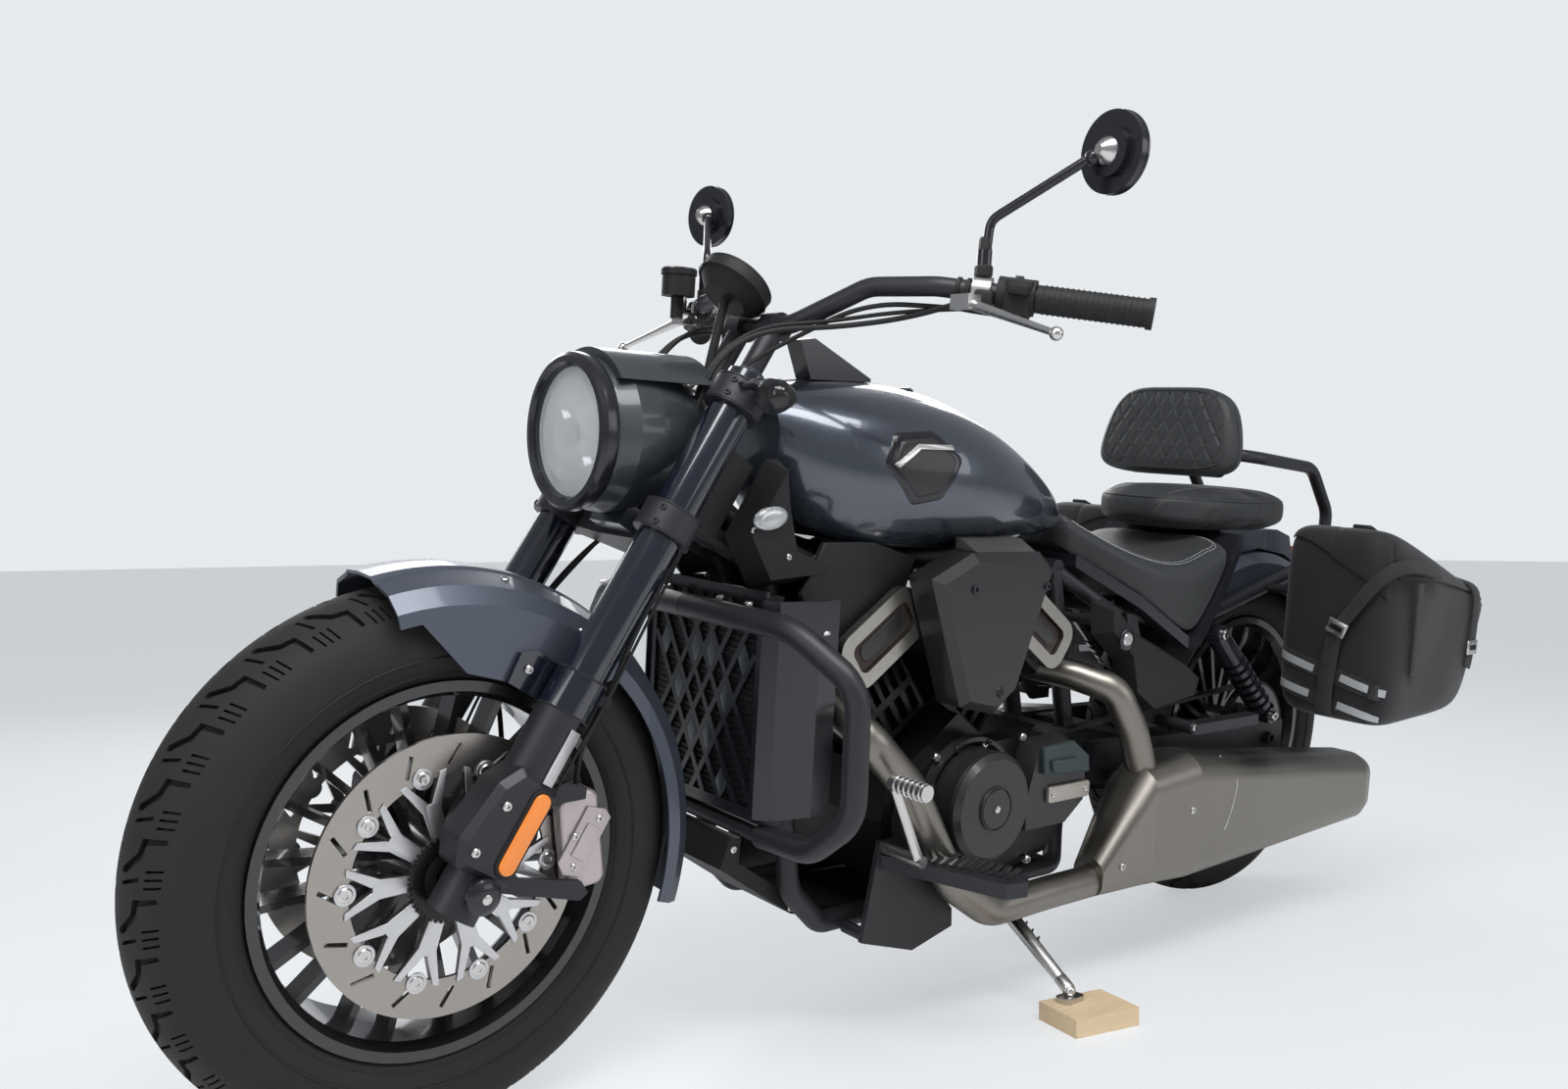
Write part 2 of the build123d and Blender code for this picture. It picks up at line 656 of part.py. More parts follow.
# Frame: steering head, spine, cradle and seat rails, all tubes welded together
HEAD_LOW = stem(LOWER_CLAMP_S + CLAMP_T / 2 + 6)
HEAD_HIGH = stem(UPPER_CLAMP_S - CLAMP_T / 2 - 6)
SPINE_R = 19
DOWN_R = 15
RAIL_R = 13
RAIL_Y = 107
CRADLE_Y = 96
CRADLE_Z = 165
SWING_PIVOT = (-306, 330)
with BuildPart() as frame:
    add(rod(HEAD_LOW, HEAD_HIGH, 30))
    add(tube(((452, 0, 762), (330, 0, 676), (160, 0, 656), (-150, 0, 656), (-232, 0, 640)),
             (80, 100, 60), SPINE_R))
    for side in (-1, 1):
        add(tube(((488, side * 14, 722), (352, side * 50, 652), (318, side * CRADLE_Y, 220),
                  (262, side * CRADLE_Y, CRADLE_Z), (-236, side * CRADLE_Y, CRADLE_Z),
                  (-290, side * 52, 212), (-306, side * 54, 330), (-232, side * 58, 640)),
                 (50, 40, 30, 36, 36, 60), DOWN_R))
        add(tube(((-232, side * 55, 640), (-330, side * RAIL_Y, 570), (-560, side * RAIL_Y, 546),
                  (-940, side * RAIL_Y, 640)), (50, 90), RAIL_R))
        boss = (SHOCK_TOP[0], side * RAIL_Y, SHOCK_TOP[1])
        add(rod(boss, (boss[0], side * (SHOCK_IN - CLEAR), boss[2]), 12))
    for x, z in ((-30, CRADLE_Z), (-215, CRADLE_Z)):
        add(rod((x, -CRADLE_Y, z), (x, CRADLE_Y, z), DOWN_R))
    add(rod((-232, -70, 640), (-232, 70, 640), DOWN_R))
    add(rod((404, CLEAR - NECK_IN, 679), (404, NECK_IN - CLEAR, 679), 7))
    for side in (-1, 1):
        add(rod((346, side * 57, 590), (RAD_X - CLEAR, side * 57, 590), 8))
        add(rod((330, side * 79, 380), (RAD_X - CLEAR, side * 79, 380), 8))
        add(rod((326, side * 86, BUMPER_LOW - 12), (BUMPER_X - 11 - CLEAR, side * 86, BUMPER_LOW - 12), 9))
        add(rod((-420, side * RAIL_Y, 560), (-420, side * RAIL_Y, SEAT_CHANNEL_Z - CLEAR), 10))
        add(rod((-256, side * 58, 564), (-256, side * (SIDE_COVER_IN - CLEAR), 564), 8))
        for x, z in ((-780, 600), (-900, 630)):
            add(rod((x, side * RAIL_Y, z), (x, side * (BAG_IN - CLEAR), z), 8))
    for x, z in ((170, TANK_LOW - 1), (30, TANK_LOW + 1)):
        add(rod((x, 0, 656), (x, 0, z), 8))
    pivot_end = ARM_IN + ARM_T + 8
    add(rod((SWING_PIVOT[0], -pivot_end, SWING_PIVOT[1]), (SWING_PIVOT[0], pivot_end, SWING_PIVOT[1]), 11))
    add(rod(PIVOT + STAND_AXIS * (9.5 + CLEAR), PIVOT + STAND_AXIS * 26, 14))
    add(rod(PIVOT + STAND_AXIS * 22, (PIVOT.X, CRADLE_Y, CRADLE_Z + 11), 8))
    add(rod(HEAD_LOW, HEAD_HIGH, STEM_R + 1), mode=Mode.SUBTRACT)
keep("frame", frame.part)

# Engine: crankcase, two finned cylinders with their heads
CRANK = (40, 330)
BANK = 35
CASE_Y = 125
CYL_FOOT = 92
CYL_TOP = 232
HEAD_TOP = 316
CASE_OUTLINE = ((40, 442), (-58, 374), (-94, 374), (-136, 408), (-215, 395), (-228, 300), (-180, 205), (-60, 186),
                (110, 186), (170, 215), (182, 300), (170, 372), (138, 374))
with BuildPart() as crankcase:
    with BuildSketch(Plane.XZ.offset(CASE_Y)):
        with BuildLine():
            Polyline(*CASE_OUTLINE, close=True)
        make_face()
    extrude(amount=-2 * CASE_Y)
    for side in (-1, 1):
        with BuildSketch(Plane.XZ.offset(-side * CASE_Y)):
            with BuildLine():
                Polyline((-200, 380), (-208, 300), (-168, 222), (-60, 203), (100, 203), (150, 226),
                         (162, 300), (148, 370), (100, 402), (-100, 408), close=True)
            make_face()
        extrude(amount=-side * 24, taper=14)
    with BuildSketch(Plane.XZ.offset(5 - BELT_Y + BELT_W / 2)):
        with Locations((PINION_X - 60, PINION_Z)):
            Rectangle(240, 2 * PINION_R + 26)
    extrude(amount=-BELT_W - 10, mode=Mode.SUBTRACT)
    with BuildSketch(Plane.XZ.offset(5 - BELT_Y + BELT_W / 2)):
        with Locations((PINION_X, PINION_Z)):
            Circle(PINION_R)
    extrude(amount=-BELT_W - 5)
keep("crankcase", crankcase.part)


def bank_plane(side, height):
    """Plane across a cylinder at a height up its axis; side is 1 for the front one."""
    turn = math.radians(BANK) * side
    up = (math.sin(turn), 0, math.cos(turn))
    origin = (CRANK[0] + up[0] * height, 0, CRANK[1] + up[2] * height)
    return Plane(origin=origin, x_dir=(up[2], 0, -up[0]), z_dir=up)


# Cylinder block, its foot and head: length, width and corner radius
BLOCK = (128, 150, 22)
FOOT_BLOCK = (104, 112, 30)
FOOT_T = 12
HEAD = (142, 236, 26)
SLOT_DEEP = 14
# Slots in the sides of each cylinder, parallel to its axis: (lowest, highest, how many, width)
SLOT_ROWS = ((CYL_FOOT + 22, CYL_FOOT + 60, 4, 15), (CYL_FOOT + 72, CYL_TOP - 8, 5, 12))
with BuildPart() as cylinders:
    for bank in (1, -1):
        with BuildSketch(bank_plane(bank, CYL_FOOT + CLEAR)):
            RectangleRounded(*FOOT_BLOCK)
        extrude(amount=FOOT_T)
        with BuildSketch(bank_plane(bank, CYL_FOOT + FOOT_T)):
            RectangleRounded(*BLOCK)
        extrude(amount=CYL_TOP - CYL_FOOT - FOOT_T)
        with BuildSketch(bank_plane(bank, CYL_TOP)):
            RectangleRounded(*HEAD)
        extrude(amount=HEAD_TOP - CYL_TOP)
        for low, high, count, wide in SLOT_ROWS:
            base = bank_plane(bank, (low + high) / 2)
            for side in (-1, 1):
                middle = Vector(*base.origin) + Vector(0, side * BLOCK[1] / 2, 0)
                face = Plane(origin=middle, x_dir=base.x_dir, z_dir=(0, side, 0))
                with BuildSketch(face):
                    with GridLocations((BLOCK[0] - 30) / count, 1, count, 1):
                        Rectangle(wide, high - low)
                extrude(amount=-SLOT_DEEP, mode=Mode.SUBTRACT)
keep("cylinders", cylinders.part)

# Bright bezels on both sides of each head
BEZEL_HEIGHT = 284
BEZEL_T = 14
with BuildPart() as bezels:
    for bank in (1, -1):
        for side in (-1, 1):
            base = bank_plane(bank, BEZEL_HEIGHT)
            middle = Vector(*base.origin) + Vector(0, side * (HEAD[1] / 2 + CLEAR), 0)
            face = Plane(origin=middle, x_dir=base.x_dir, z_dir=(0, side, 0))
            with BuildSketch(face):
                RectangleRounded(156, 82, 27)
                RectangleRounded(116, 44, 12, mode=Mode.SUBTRACT)
            extrude(amount=BEZEL_T)
keep("head_bezels", bezels.part)

# Round outer covers on the crankcase
COVER_X = 40
COVER_Z = 322
with BuildPart() as covers:
    for side, radius, deep in ((1, 78, 58), (-1, 82, 42)):
        wall = CASE_Y + 24 + CLEAR
        with BuildSketch(Plane.XZ.offset(-side * wall)):
            with Locations((COVER_X, COVER_Z)):
                Circle(radius)
        extrude(amount=-side * (deep - 8))
        with BuildSketch(Plane.XZ.offset(-side * (wall + deep - 8))):
            with Locations((COVER_X, COVER_Z)):
                Circle(radius)
        extrude(amount=-side * 8, taper=45)
        with BuildSketch(Plane.XZ.offset(-side * (wall + deep))):
            with Locations((COVER_X, COVER_Z)):
                Circle(28)
        extrude(amount=-side * 3)

# Air box in the V with a coffin-shaped cover on each side
V_OUTLINE = ((92, 681), (-48, 681), (-80, 656), (-14, 482), (28, 450), (98, 466), (170, 646))
AIR_IN = HEAD[1] / 2 + BEZEL_T + 4
AIR_OUT = 192
AIR_EDGE = 12
with BuildPart() as air_cover:
    with BuildSketch(Plane.XZ.offset(-AIR_IN)):
        with BuildLine():
            Polyline(*V_OUTLINE, close=True)
        make_face()
    extrude(amount=AIR_IN + AIR_EDGE - AIR_OUT)
    with BuildSketch(Plane.XZ.offset(AIR_EDGE - AIR_OUT)):
        with BuildLine():
            Polyline(*V_OUTLINE, close=True)
        make_face()
    extrude(amount=-AIR_EDGE, taper=45)
    mirror(about=Plane.XZ)
    with BuildSketch(Plane.XZ.offset(AIR_IN)):
        with Locations((42, 570)):
            Rectangle(84, 90)
    extrude(amount=-2 * AIR_IN)
    add(rod((-60, 0, 586), (140, 0, 586), 22))
    for side in (1, -1):
        with BuildSketch(bank_plane(side, CYL_TOP - CLEAR)):
            RectangleRounded(HEAD[0] + 2 * CLEAR, HEAD[1] + 2 * CLEAR, HEAD[2] + CLEAR)
        extrude(amount=HEAD_TOP - CYL_TOP + 2 * CLEAR, mode=Mode.SUBTRACT)
keep("air_cleaner", air_cover.part)

with BuildPart() as sprocket_cover:
    with BuildSketch(Plane.XZ.offset(-(CASE_Y + 24 + CLEAR))):
        with BuildLine():
            Polyline((-70, 395), (-150, 402), (-196, 372), (-196, 296), (-150, 262), (-52, 262), (-48, 310),
                     close=True)
        make_face()
    extrude(amount=-34, taper=12)
keep("engine_covers", joined(covers.part, sprocket_cover.part))

# Radiator, its patterned guard and the side shrouds
RAD_LOW = 342
RAD_HIGH = 622
RAD_Y = 118
with BuildPart() as radiator:
    with BuildSketch(Plane.YZ.offset(RAD_X)):
        with Locations((0, (RAD_LOW + RAD_HIGH) / 2)):
            Rectangle(2 * RAD_Y, RAD_HIGH - RAD_LOW)
    extrude(amount=32)
keep("radiator", radiator.part)

GUARD_T = 5
with BuildPart() as guard:
    with BuildSketch(Plane.YZ.offset(RAD_X + 32 + CLEAR)):
        with Locations((0, (RAD_LOW + RAD_HIGH) / 2)):
            Rectangle(2 * RAD_Y + 20, RAD_HIGH - RAD_LOW + 16)
            Rectangle(2 * RAD_Y - 10, RAD_HIGH - RAD_LOW - 14, mode=Mode.SUBTRACT)
            for turn in (-1, 1):
                for step in range(-2, 3):
                    with Locations(Location((0, step * 56), turn * 58)):
                        Rectangle(420, 8)
            Rectangle(2 * RAD_Y + 20, RAD_HIGH - RAD_LOW + 16, mode=Mode.INTERSECT)
    extrude(amount=GUARD_T)

with BuildPart() as shroud:
    with BuildSketch(Plane.XY.offset(RAD_LOW - 2)):
        with BuildLine():
            Polyline((RAD_X + 42, RAD_Y + 10 + CLEAR), (RAD_X + 30, RAD_Y + 30), (RAD_X - 30, RAD_Y + 40),
                     (RAD_X - 70, RAD_Y + 30), (RAD_X - 68, RAD_Y + 25), (RAD_X - 30, RAD_Y + 34),
                     (RAD_X + 26, RAD_Y + 25), (RAD_X + 34, RAD_Y + 10 + CLEAR), close=True)
        make_face()
    extrude(amount=RAD_HIGH - RAD_LOW)
keep("radiator_guard", joined(guard.part, both(shroud.part)))

# Crash bars: one tube from side to side with a loop each side
BUMPER_R = 16
BUMPER_TOP = 598
BUMPER_Y = 292
with BuildPart() as crash_bars:
    half = tube(((BUMPER_X + 44, 0, BUMPER_TOP), (BUMPER_X + 34, 205, BUMPER_TOP - 2),
                 (BUMPER_X, BUMPER_Y, BUMPER_TOP - 60), (BUMPER_X - 4, BUMPER_Y, BUMPER_LOW + 50),
                 (BUMPER_X + 2, BUMPER_Y - 66, BUMPER_LOW - 6), (BUMPER_X, 128, BUMPER_LOW - 12)),
                (90, 60, 60, 60), BUMPER_R)
    add(half)
    mirror(about=Plane.XZ)
    add(rod((BUMPER_X, -140, BUMPER_LOW - 12), (BUMPER_X, 140, BUMPER_LOW - 12), 11))
keep("crash_bars", crash_bars.part)

# Belly pan under the crankcase front
with BuildPart() as belly:
    with BuildSketch(Plane.XZ.offset(CLEAR + DOWN_R - CRADLE_Y)):
        with BuildLine():
            Polyline((410, 300), (424, 262), (300, 180), (190, 146), (10, 140), (10, 156), (186, 162), (290, 198),
                     (394, 266), (392, 300), close=True)
        make_face()
    extrude(amount=2 * (CRADLE_Y - DOWN_R - CLEAR))
keep("belly_pan", belly.part)

# Fuel tank: (x, half width at the bottom, at the widest, at the shoulder, z of the same and of the crown)
TANK_SECTIONS = ((352, 34, 66, 44, 772, 822, 872, 886),
                 (285, 70, 118, 74, TANK_LOW + 18, 790, 882, 902),
                 (170, 104, 158, 92, TANK_LOW, 776, 886, 908),
                 (30, 112, 165, 92, TANK_LOW + 2, 768, 868, 892),
                 (-120, 92, 130, 70, 694, 742, 800, 824),
                 (-205, 58, 84, 44, 699, 722, 750, 766),
                 (-250, 26, 42, 20, 701, 711, 722, 728))
with BuildPart() as tank:
    for x, low_y, wide_y, top_y, low_z, wide_z, top_z, crown_z in TANK_SECTIONS:
        with BuildSketch(Plane.YZ.offset(x)):
            with BuildLine():
                Line((-low_y, low_z), (low_y, low_z))
                ThreePointArc((low_y, low_z), (wide_y, wide_z), (top_y, top_z))
                ThreePointArc((top_y, top_z), (0, crown_z), (-top_y, top_z))
                ThreePointArc((-top_y, top_z), (-wide_y, wide_z), (-low_y, low_z))
            make_face()
    loft()
keep("fuel_tank", tank.part)

with BuildPart() as console:
    with BuildSketch(Plane.XZ.offset(16)):
        with BuildLine():
            Polyline((262, 905.8), (284, 958), (258, 962), (150, 914), (150, 909.3), close=True)
        make_face()
    extrude(amount=-32)
keep("tank_console", console.part)

# Neck covers between fork and tank with a marker lamp on each
with BuildPart() as neck:
    with BuildSketch(Plane.XZ.offset(-NECK_IN)):
        with BuildLine():
            Polyline((380, 796), (440, 697), (398, 628), (300, 636), (272, 664), (338, 690), (352, 740), (360, 796),
                     close=True)
        make_face()
    extrude(amount=-38, taper=20)
keep("neck_covers", both(neck.part))

with BuildPart() as marker:
    with BuildSketch(Plane.XZ.offset(-(112 + CLEAR))):
        with Locations(Location((398, 722), -10)):
            Ellipse(26, 14)
    extrude(amount=-10)
keep("marker_lamps", both(marker.part))

# Seats and backrest
SEAT_CHANNEL_Y = 124
SEAT_SIDE = ((-256, 668), (-254, 740), (-290, 716), (-350, 678), (-430, 660), (-520, 672), (-580, 694),
             (-630, 690), (-500, 536), (-470, 533))
SEAT_PLAN = ((-180, 62), (-250, 78), (-360, 138), (-470, 158), (-560, 154), (-640, 140))
with BuildPart() as rider_seat:
    with BuildSketch(Plane.XZ.offset(170)):
        with BuildLine():
            Polyline(*SEAT_SIDE, close=True)
        make_face()
    extrude(amount=-340)
    with BuildSketch(Plane.XY.offset(500)):
        with BuildLine():
            Polyline(*SEAT_PLAN, *[(x, -y) for x, y in reversed(SEAT_PLAN)], close=True)
        make_face()
    extrude(amount=300, mode=Mode.INTERSECT)
    with BuildSketch(Plane.XZ.offset(SEAT_CHANNEL_Y)):
        with Locations((-440, SEAT_CHANNEL_Z - 80)):
            Rectangle(500, 160)
    extrude(amount=-2 * SEAT_CHANNEL_Y, mode=Mode.SUBTRACT)
keep("rider_seat", rider_seat.part)

TRAY_SIDE = ((-256, 644), (-256, 664), (-469, 532.5), (-500.3, 535.5), (-640, 700), (-662, 700), (-508, 512),
             (-476, 508))
with BuildPart() as seat_tray:
    with BuildSketch(Plane.XZ.offset(180)):
        with BuildLine():
            Polyline(*TRAY_SIDE, close=True)
        make_face()
    extrude(amount=-360)
    with BuildSketch(Plane.XY.offset(480)):
        with BuildLine():
            Polyline(*[(x, y + 4) for x, y in SEAT_PLAN], *[(x, -y - 4) for x, y in reversed(SEAT_PLAN)],
                     close=True)
        make_face()
    extrude(amount=300, mode=Mode.INTERSECT)
    with BuildSketch(Plane.XZ.offset(SEAT_CHANNEL_Y)):
        with Locations((-440, SEAT_CHANNEL_Z - 84)):
            Rectangle(500, 160)
    extrude(amount=-2 * SEAT_CHANNEL_Y, mode=Mode.SUBTRACT)
keep("seat_tray", seat_tray.part)

with BuildPart() as pillion:
    with BuildSketch(Plane.XY.offset(703)):
        with Locations((-672, 0)):
            RectangleRounded(400, 262, 60)
    extrude(amount=74)
    fillet(pillion.faces().sort_by(Axis.Z)[-1].edges(), 24)
keep("pillion_pad", pillion.part)

PAD_T = 56
PAD = Plane(origin=(-572, 0, 800), x_dir=(0, 1, 0), z_dir=(-0.99, 0, -0.14))
with BuildPart() as backrest:
    with BuildSketch(PAD):
        with BuildLine():
            Polyline((-146, 0), (146, 0), (140, -80), (100, -160), (-100, -160), (-140, -80), close=True)
        make_face()
        fillet(vertices(), 22)
    extrude(amount=PAD_T)
keep("backrest_pad", backrest.part)

BAR_Y = RAIL_Y + RAIL_R + 11 + CLEAR
with BuildPart() as backrest_bar:
    half = tube(((-652, 0, 838), (-652, 116, 838), (-700, BAR_Y, 834), (-872, BAR_Y, 822),
                 (-938, BAR_Y, 742), (-938, BAR_Y, 634)), (30, 30, 50, 40), 11)
    add(half)
    mirror(about=Plane.XZ)
    with BuildSketch(PAD.offset(PAD_T + CLEAR)):
        with Locations((0, -38)):
            RectangleRounded(200, 66, 12)
    extrude(amount=8)


# Rear mudguard with the pillion base, the tail lamp and the plate bracket
GUARD_R = TYRE_R + 30
GUARD_Y = RAIL_Y - RAIL_R - CLEAR
with BuildPart() as rear_fender:
    lift = math.radians(50)
    start = Plane(origin=(REAR_X, 0, TYRE_R), x_dir=(0, 1, 0), z_dir=(math.sin(lift), 0, -math.cos(lift)))
    with BuildSketch(start):
        with BuildLine():
            Polyline((0, GUARD_R + 2), (50, GUARD_R), (80, GUARD_R - 10), (GUARD_Y, GUARD_R - 28),
                     (GUARD_Y, GUARD_R - 78), (GUARD_Y - 4, GUARD_R - 78), (GUARD_Y - 4, GUARD_R - 29),
                     (78, GUARD_R - 14), (49, GUARD_R - 4), (0, GUARD_R - 2), close=True)
        make_face()
        mirror(about=Plane.YZ)
    revolve(axis=Axis((REAR_X, 0, TYRE_R), (0, -1, 0)), revolution_arc=122)
    with BuildSketch(Plane.XZ.offset(80)):
        with BuildLine():
            Polyline((-668, 702.5), (-860, 702.5), (-905, 690), (-925, 640), (-890, 655), (-800, 668),
                     (-700, 655), (-655, 640), close=True)
        make_face()
    extrude(amount=-160)
    with BuildSketch(Plane(origin=(-1138, 0, 470), x_dir=(0, 1, 0), z_dir=(-0.94, 0, 0.34))):
        RectangleRounded(190, 130, 10)
        with Locations((-60, 40), (60, 40)):
            Circle(3.25, mode=Mode.SUBTRACT)
    extrude(amount=4)
    add(rod((-1104, 0, 479), (-1139, 0, 470), 14))
keep("rear_fender", rear_fender.part)

with BuildPart() as tail_lamp:
    with BuildSketch(Plane.XZ.offset(50)):
        with BuildLine():
            Polyline((-921.2, 653), (-914, 670), (-992, 666), (-1030, 636), (-1036, 592), (-986, 626),
                     close=True)
        make_face()
    extrude(amount=-100)
keep("tail_lamp", tail_lamp.part)

# Side covers under the seat
with BuildPart() as side_cover:
    with BuildSketch(Plane.XZ.offset(-SIDE_COVER_IN)):
        with BuildLine():
            Polyline((-240, 596), (-270, 598), (-330, 552), (-470, 496), (-520, 466), (-505, 420), (-380, 404),
                     (-322, 440), (-304, 500), (-246, 544), close=True)
        make_face()
    extrude(amount=-34, taper=22)
keep("side_covers", both(side_cover.part))

# Swing arm and shocks
with BuildPart() as swingarm:
    for side in (-1, 1):
        with BuildSketch(Plane.XZ.offset(-side * ARM_IN)):
            with BuildLine():
                Polyline((-284, 362), (-460, 358), (-718, 352), (-734, 380), (-770, 380), (-786, 350),
                         (-850, 350), (-850, 292), (-760, 292),
                         (-460, 296), (-284, 298), close=True)
            make_face()
            with Locations(SWING_PIVOT):
                Circle(11 + CLEAR, mode=Mode.SUBTRACT)
        extrude(amount=-side * ARM_T)
    with BuildSketch(Plane.XZ.offset(ARM_IN)):
        with Locations((-430, 328)):
            Rectangle(46, 54)
    extrude(amount=-2 * ARM_IN)

with BuildPart() as rear_axle:
    span = ARM_IN + ARM_T + 10
    with BuildSketch(Plane.XZ.offset(span)):
        with Locations((REAR_X, TYRE_R)):
            Circle(AXLE_R)
    extrude(amount=-2 * span)
bore = rod((REAR_X, -span - 2, TYRE_R), (REAR_X, span + 2, TYRE_R), AXLE_BORE_R)
keep("swingarm", joined(swingarm.part, rear_axle.part) - bore)

with BuildPart() as shock:
    top = (SHOCK_TOP[0], SHOCK_Y, SHOCK_TOP[1])
    low = (SHOCK_LOW[0], SHOCK_Y, SHOCK_LOW[1])
    span = Vector(*low) - Vector(*top)
    add(rod(top, low, 9))
    add(rod(top, Vector(*top) + span * 0.3, 20))
    turns = 7
    for turn in range(turns):
        begin = Vector(*top) + span * (0.32 + 0.58 * turn / turns)
        add(rod(begin, begin + span * 0.045, 22))
    for x, z in (SHOCK_TOP, SHOCK_LOW):
        add(rod((x, SHOCK_IN, z), (x, SHOCK_Y + 14, z), 15))
keep("rear_shocks", both(shock.part))

# Exhaust: (x, y, z) from each head's port
PIPE_R = 24
PIPE_WALL = 3
FRONT_PIPE = ((236, 40, 512), (274, 62, 486), (272, 128, 462), (272, 178, 446), (198, 192, 368), (106, 192, 222),
              (20, 190, 166), (-110, 192, 170), (-204, 192, 170))
REAR_PIPE = ((-156, 44, 512), (-194, 62, 486), (-226, 120, 478), (-262, 174, 462), (-292, 190, 400),
             (-318, 194, 336))
with BuildPart() as pipes:
    add(tube(FRONT_PIPE, (26, 28, 34, 90, 100, 70, 120), PIPE_R))
    add(tube(REAR_PIPE, (28, 34, 40, 60), PIPE_R))
    for side in (1, -1):
        with BuildSketch(bank_plane(side, CYL_FOOT)):
            RectangleRounded(BLOCK[0] + 2, BLOCK[1] + 2, BLOCK[2] + 1)
        extrude(amount=CYL_TOP - CYL_FOOT, mode=Mode.SUBTRACT)
        with BuildSketch(bank_plane(side, CYL_TOP - CLEAR)):
            RectangleRounded(HEAD[0] + 2 * CLEAR, HEAD[1] + 2 * CLEAR, HEAD[2] + CLEAR)
        extrude(amount=HEAD_TOP - CYL_TOP + 2 * CLEAR, mode=Mode.SUBTRACT)
keep("exhaust_pipes", both(pipes.part))

# Muffler sections, front to back: (x, y, z, width, height, corner radius)
CAN_SECTIONS = ((-204.5, 192, 178, 56, 58, 22),
                (-300, 194, 246, 96, 186, 34),
                (-405, 195, 252, 112, 206, 40),
                (-955, 196, 232, 104, 126, 36),
                (-984, 196, 231, 88, 106, 30))
with BuildPart() as can:
    for x, y, z, wide, high, corner in CAN_SECTIONS:
        with BuildSketch(Plane.YZ.offset(x)):
            with Locations((y, z)):
                RectangleRounded(wide, high, corner)
    loft(ruled=True)
    with BuildSketch(Plane.YZ.offset(-984)):
        with Locations((196, 231)):
            Circle(26)
    extrude(amount=60, mode=Mode.SUBTRACT)
    add(rod(REAR_PIPE[-2], REAR_PIPE[-1], PIPE_R + CLEAR), mode=Mode.SUBTRACT)
keep("mufflers", both(can.part))

# Saddlebags
BAG_OUT = 388
BAG_SIDE = ((-704, 744), (-790, 716), (-1075, 606), (-1108, 560), (-1050, 420), (-1010, 396), (-740, 378),
            (-716, 390))
for side, name in ((1, "saddlebag_left"), (-1, "saddlebag_right")):
    with BuildPart() as bag:
        with BuildSketch(Plane.XZ.offset(-side * BAG_IN)):
            with BuildLine():
                Polyline(*BAG_SIDE, close=True)
            make_face()
        extrude(amount=-side * (BAG_OUT - BAG_IN))
        fillet(bag.faces().sort_by(Axis.Y)[-1 if side == 1 else 0].edges(), 24)
    keep(name, bag.part)

keep("backrest_bar", backrest_bar.part)

# Rider footrests with their plates
PLATE_Y = 152
with BuildPart() as footrest:
    with BuildSketch(Plane.XZ.offset(-PLATE_Y)):
        with BuildLine():
            Polyline((215, 288), (172, 288), (64, 168), (62, 142), (140, 122), (238, 152), close=True)
        make_face()
    extrude(amount=-8)
    for x in (80, 225):
        add(rod((x, CRADLE_Y + DOWN_R + CLEAR, 158), (x, PLATE_Y, 158), 9))
    with BuildSketch(Plane.XY.offset(250)):
        with BuildLine():
            Polyline((214, PLATE_Y + 2), (184, PLATE_Y + 2), (172, 168), (170, 220), (100, 322), (118, 338),
                     (152, 330), close=True)
        make_face()
    extrude(amount=20)

# Passenger footrests, folded back along the machine, and their hangers
HANGER_Y = RAIL_Y + RAIL_R + CLEAR
with BuildPart() as passenger:
    with BuildSketch(Plane.XZ.offset(-HANGER_Y)):
        with BuildLine():
            Polyline((-340, 572), (-368, 568), (-436, 400), (-470, 396), (-470, 376), (-425, 376), (-400, 400),
                     close=True)
        make_face()
    extrude(amount=-8)
    add(rod((-452, HANGER_Y + 8, 387), (-452, 196, 387), 10))
    with BuildSketch(Plane.XY.offset(376)):
        with Locations((-545, 190)):
            RectangleRounded(196, 26, 8)
    extrude(amount=17)
keep("footrests", joined(both(footrest.part), both(passenger.part)))

# Gear lever and brake pedal
TOE = (262, 392)
SHAFT = (205, 279)
PEDAL_Y = 224
with BuildPart() as pedal:
    add(rod((TOE[0], PEDAL_Y, TOE[1]), (TOE[0], PEDAL_Y + 62, TOE[1]), 11))
    add(rod((TOE[0], PEDAL_Y, TOE[1]), (SHAFT[0], PEDAL_Y, SHAFT[1]), 7))
    add(rod((SHAFT[0], PLATE_Y + 8 + CLEAR, SHAFT[1]), (SHAFT[0], PEDAL_Y + 8, SHAFT[1]), 8))
keep("foot_controls", both(pedal.part))

# Rear caliper on the right disc
REAR_CALIPER_ANGLE = 34
with BuildPart() as rear_caliper:
    with BuildSketch(Plane.XZ.offset(DISC_Y - 24)):
        with Locations((REAR_X, TYRE_R)):
            with PolarLocations(REAR_DISC_R - 4, 1, start_angle=REAR_CALIPER_ANGLE):
                RectangleRounded(50, 96, 12)
    extrude(amount=ARM_IN - DISC_Y + 24 - CLEAR)
    with BuildSketch(Plane.XZ.offset(DISC_Y - DISC_T / 2 - 5)):
        with Locations((REAR_X, TYRE_R)):
            Circle(REAR_DISC_R + 5.5)
    extrude(amount=DISC_T + 10, mode=Mode.SUBTRACT)
keep("rear_caliper", rear_caliper.part)

# Side stand, deployed onto a wooden block
with BuildPart() as stand:
    add(rod(PIVOT + STAND_AXIS * 9.5, PIVOT - STAND_AXIS * 9.5, 14))
    add(rod(PIVOT, ANKLE, 9, 7.5))
    with BuildSketch(Plane(origin=FOOT, x_dir=(1, 0, 0), z_dir=UP)):
        RectangleRounded(40, 26, 8)
    extrude(amount=7)
    with Locations(ANKLE):
        Sphere(8.5)
keep("side_stand", stand.part)

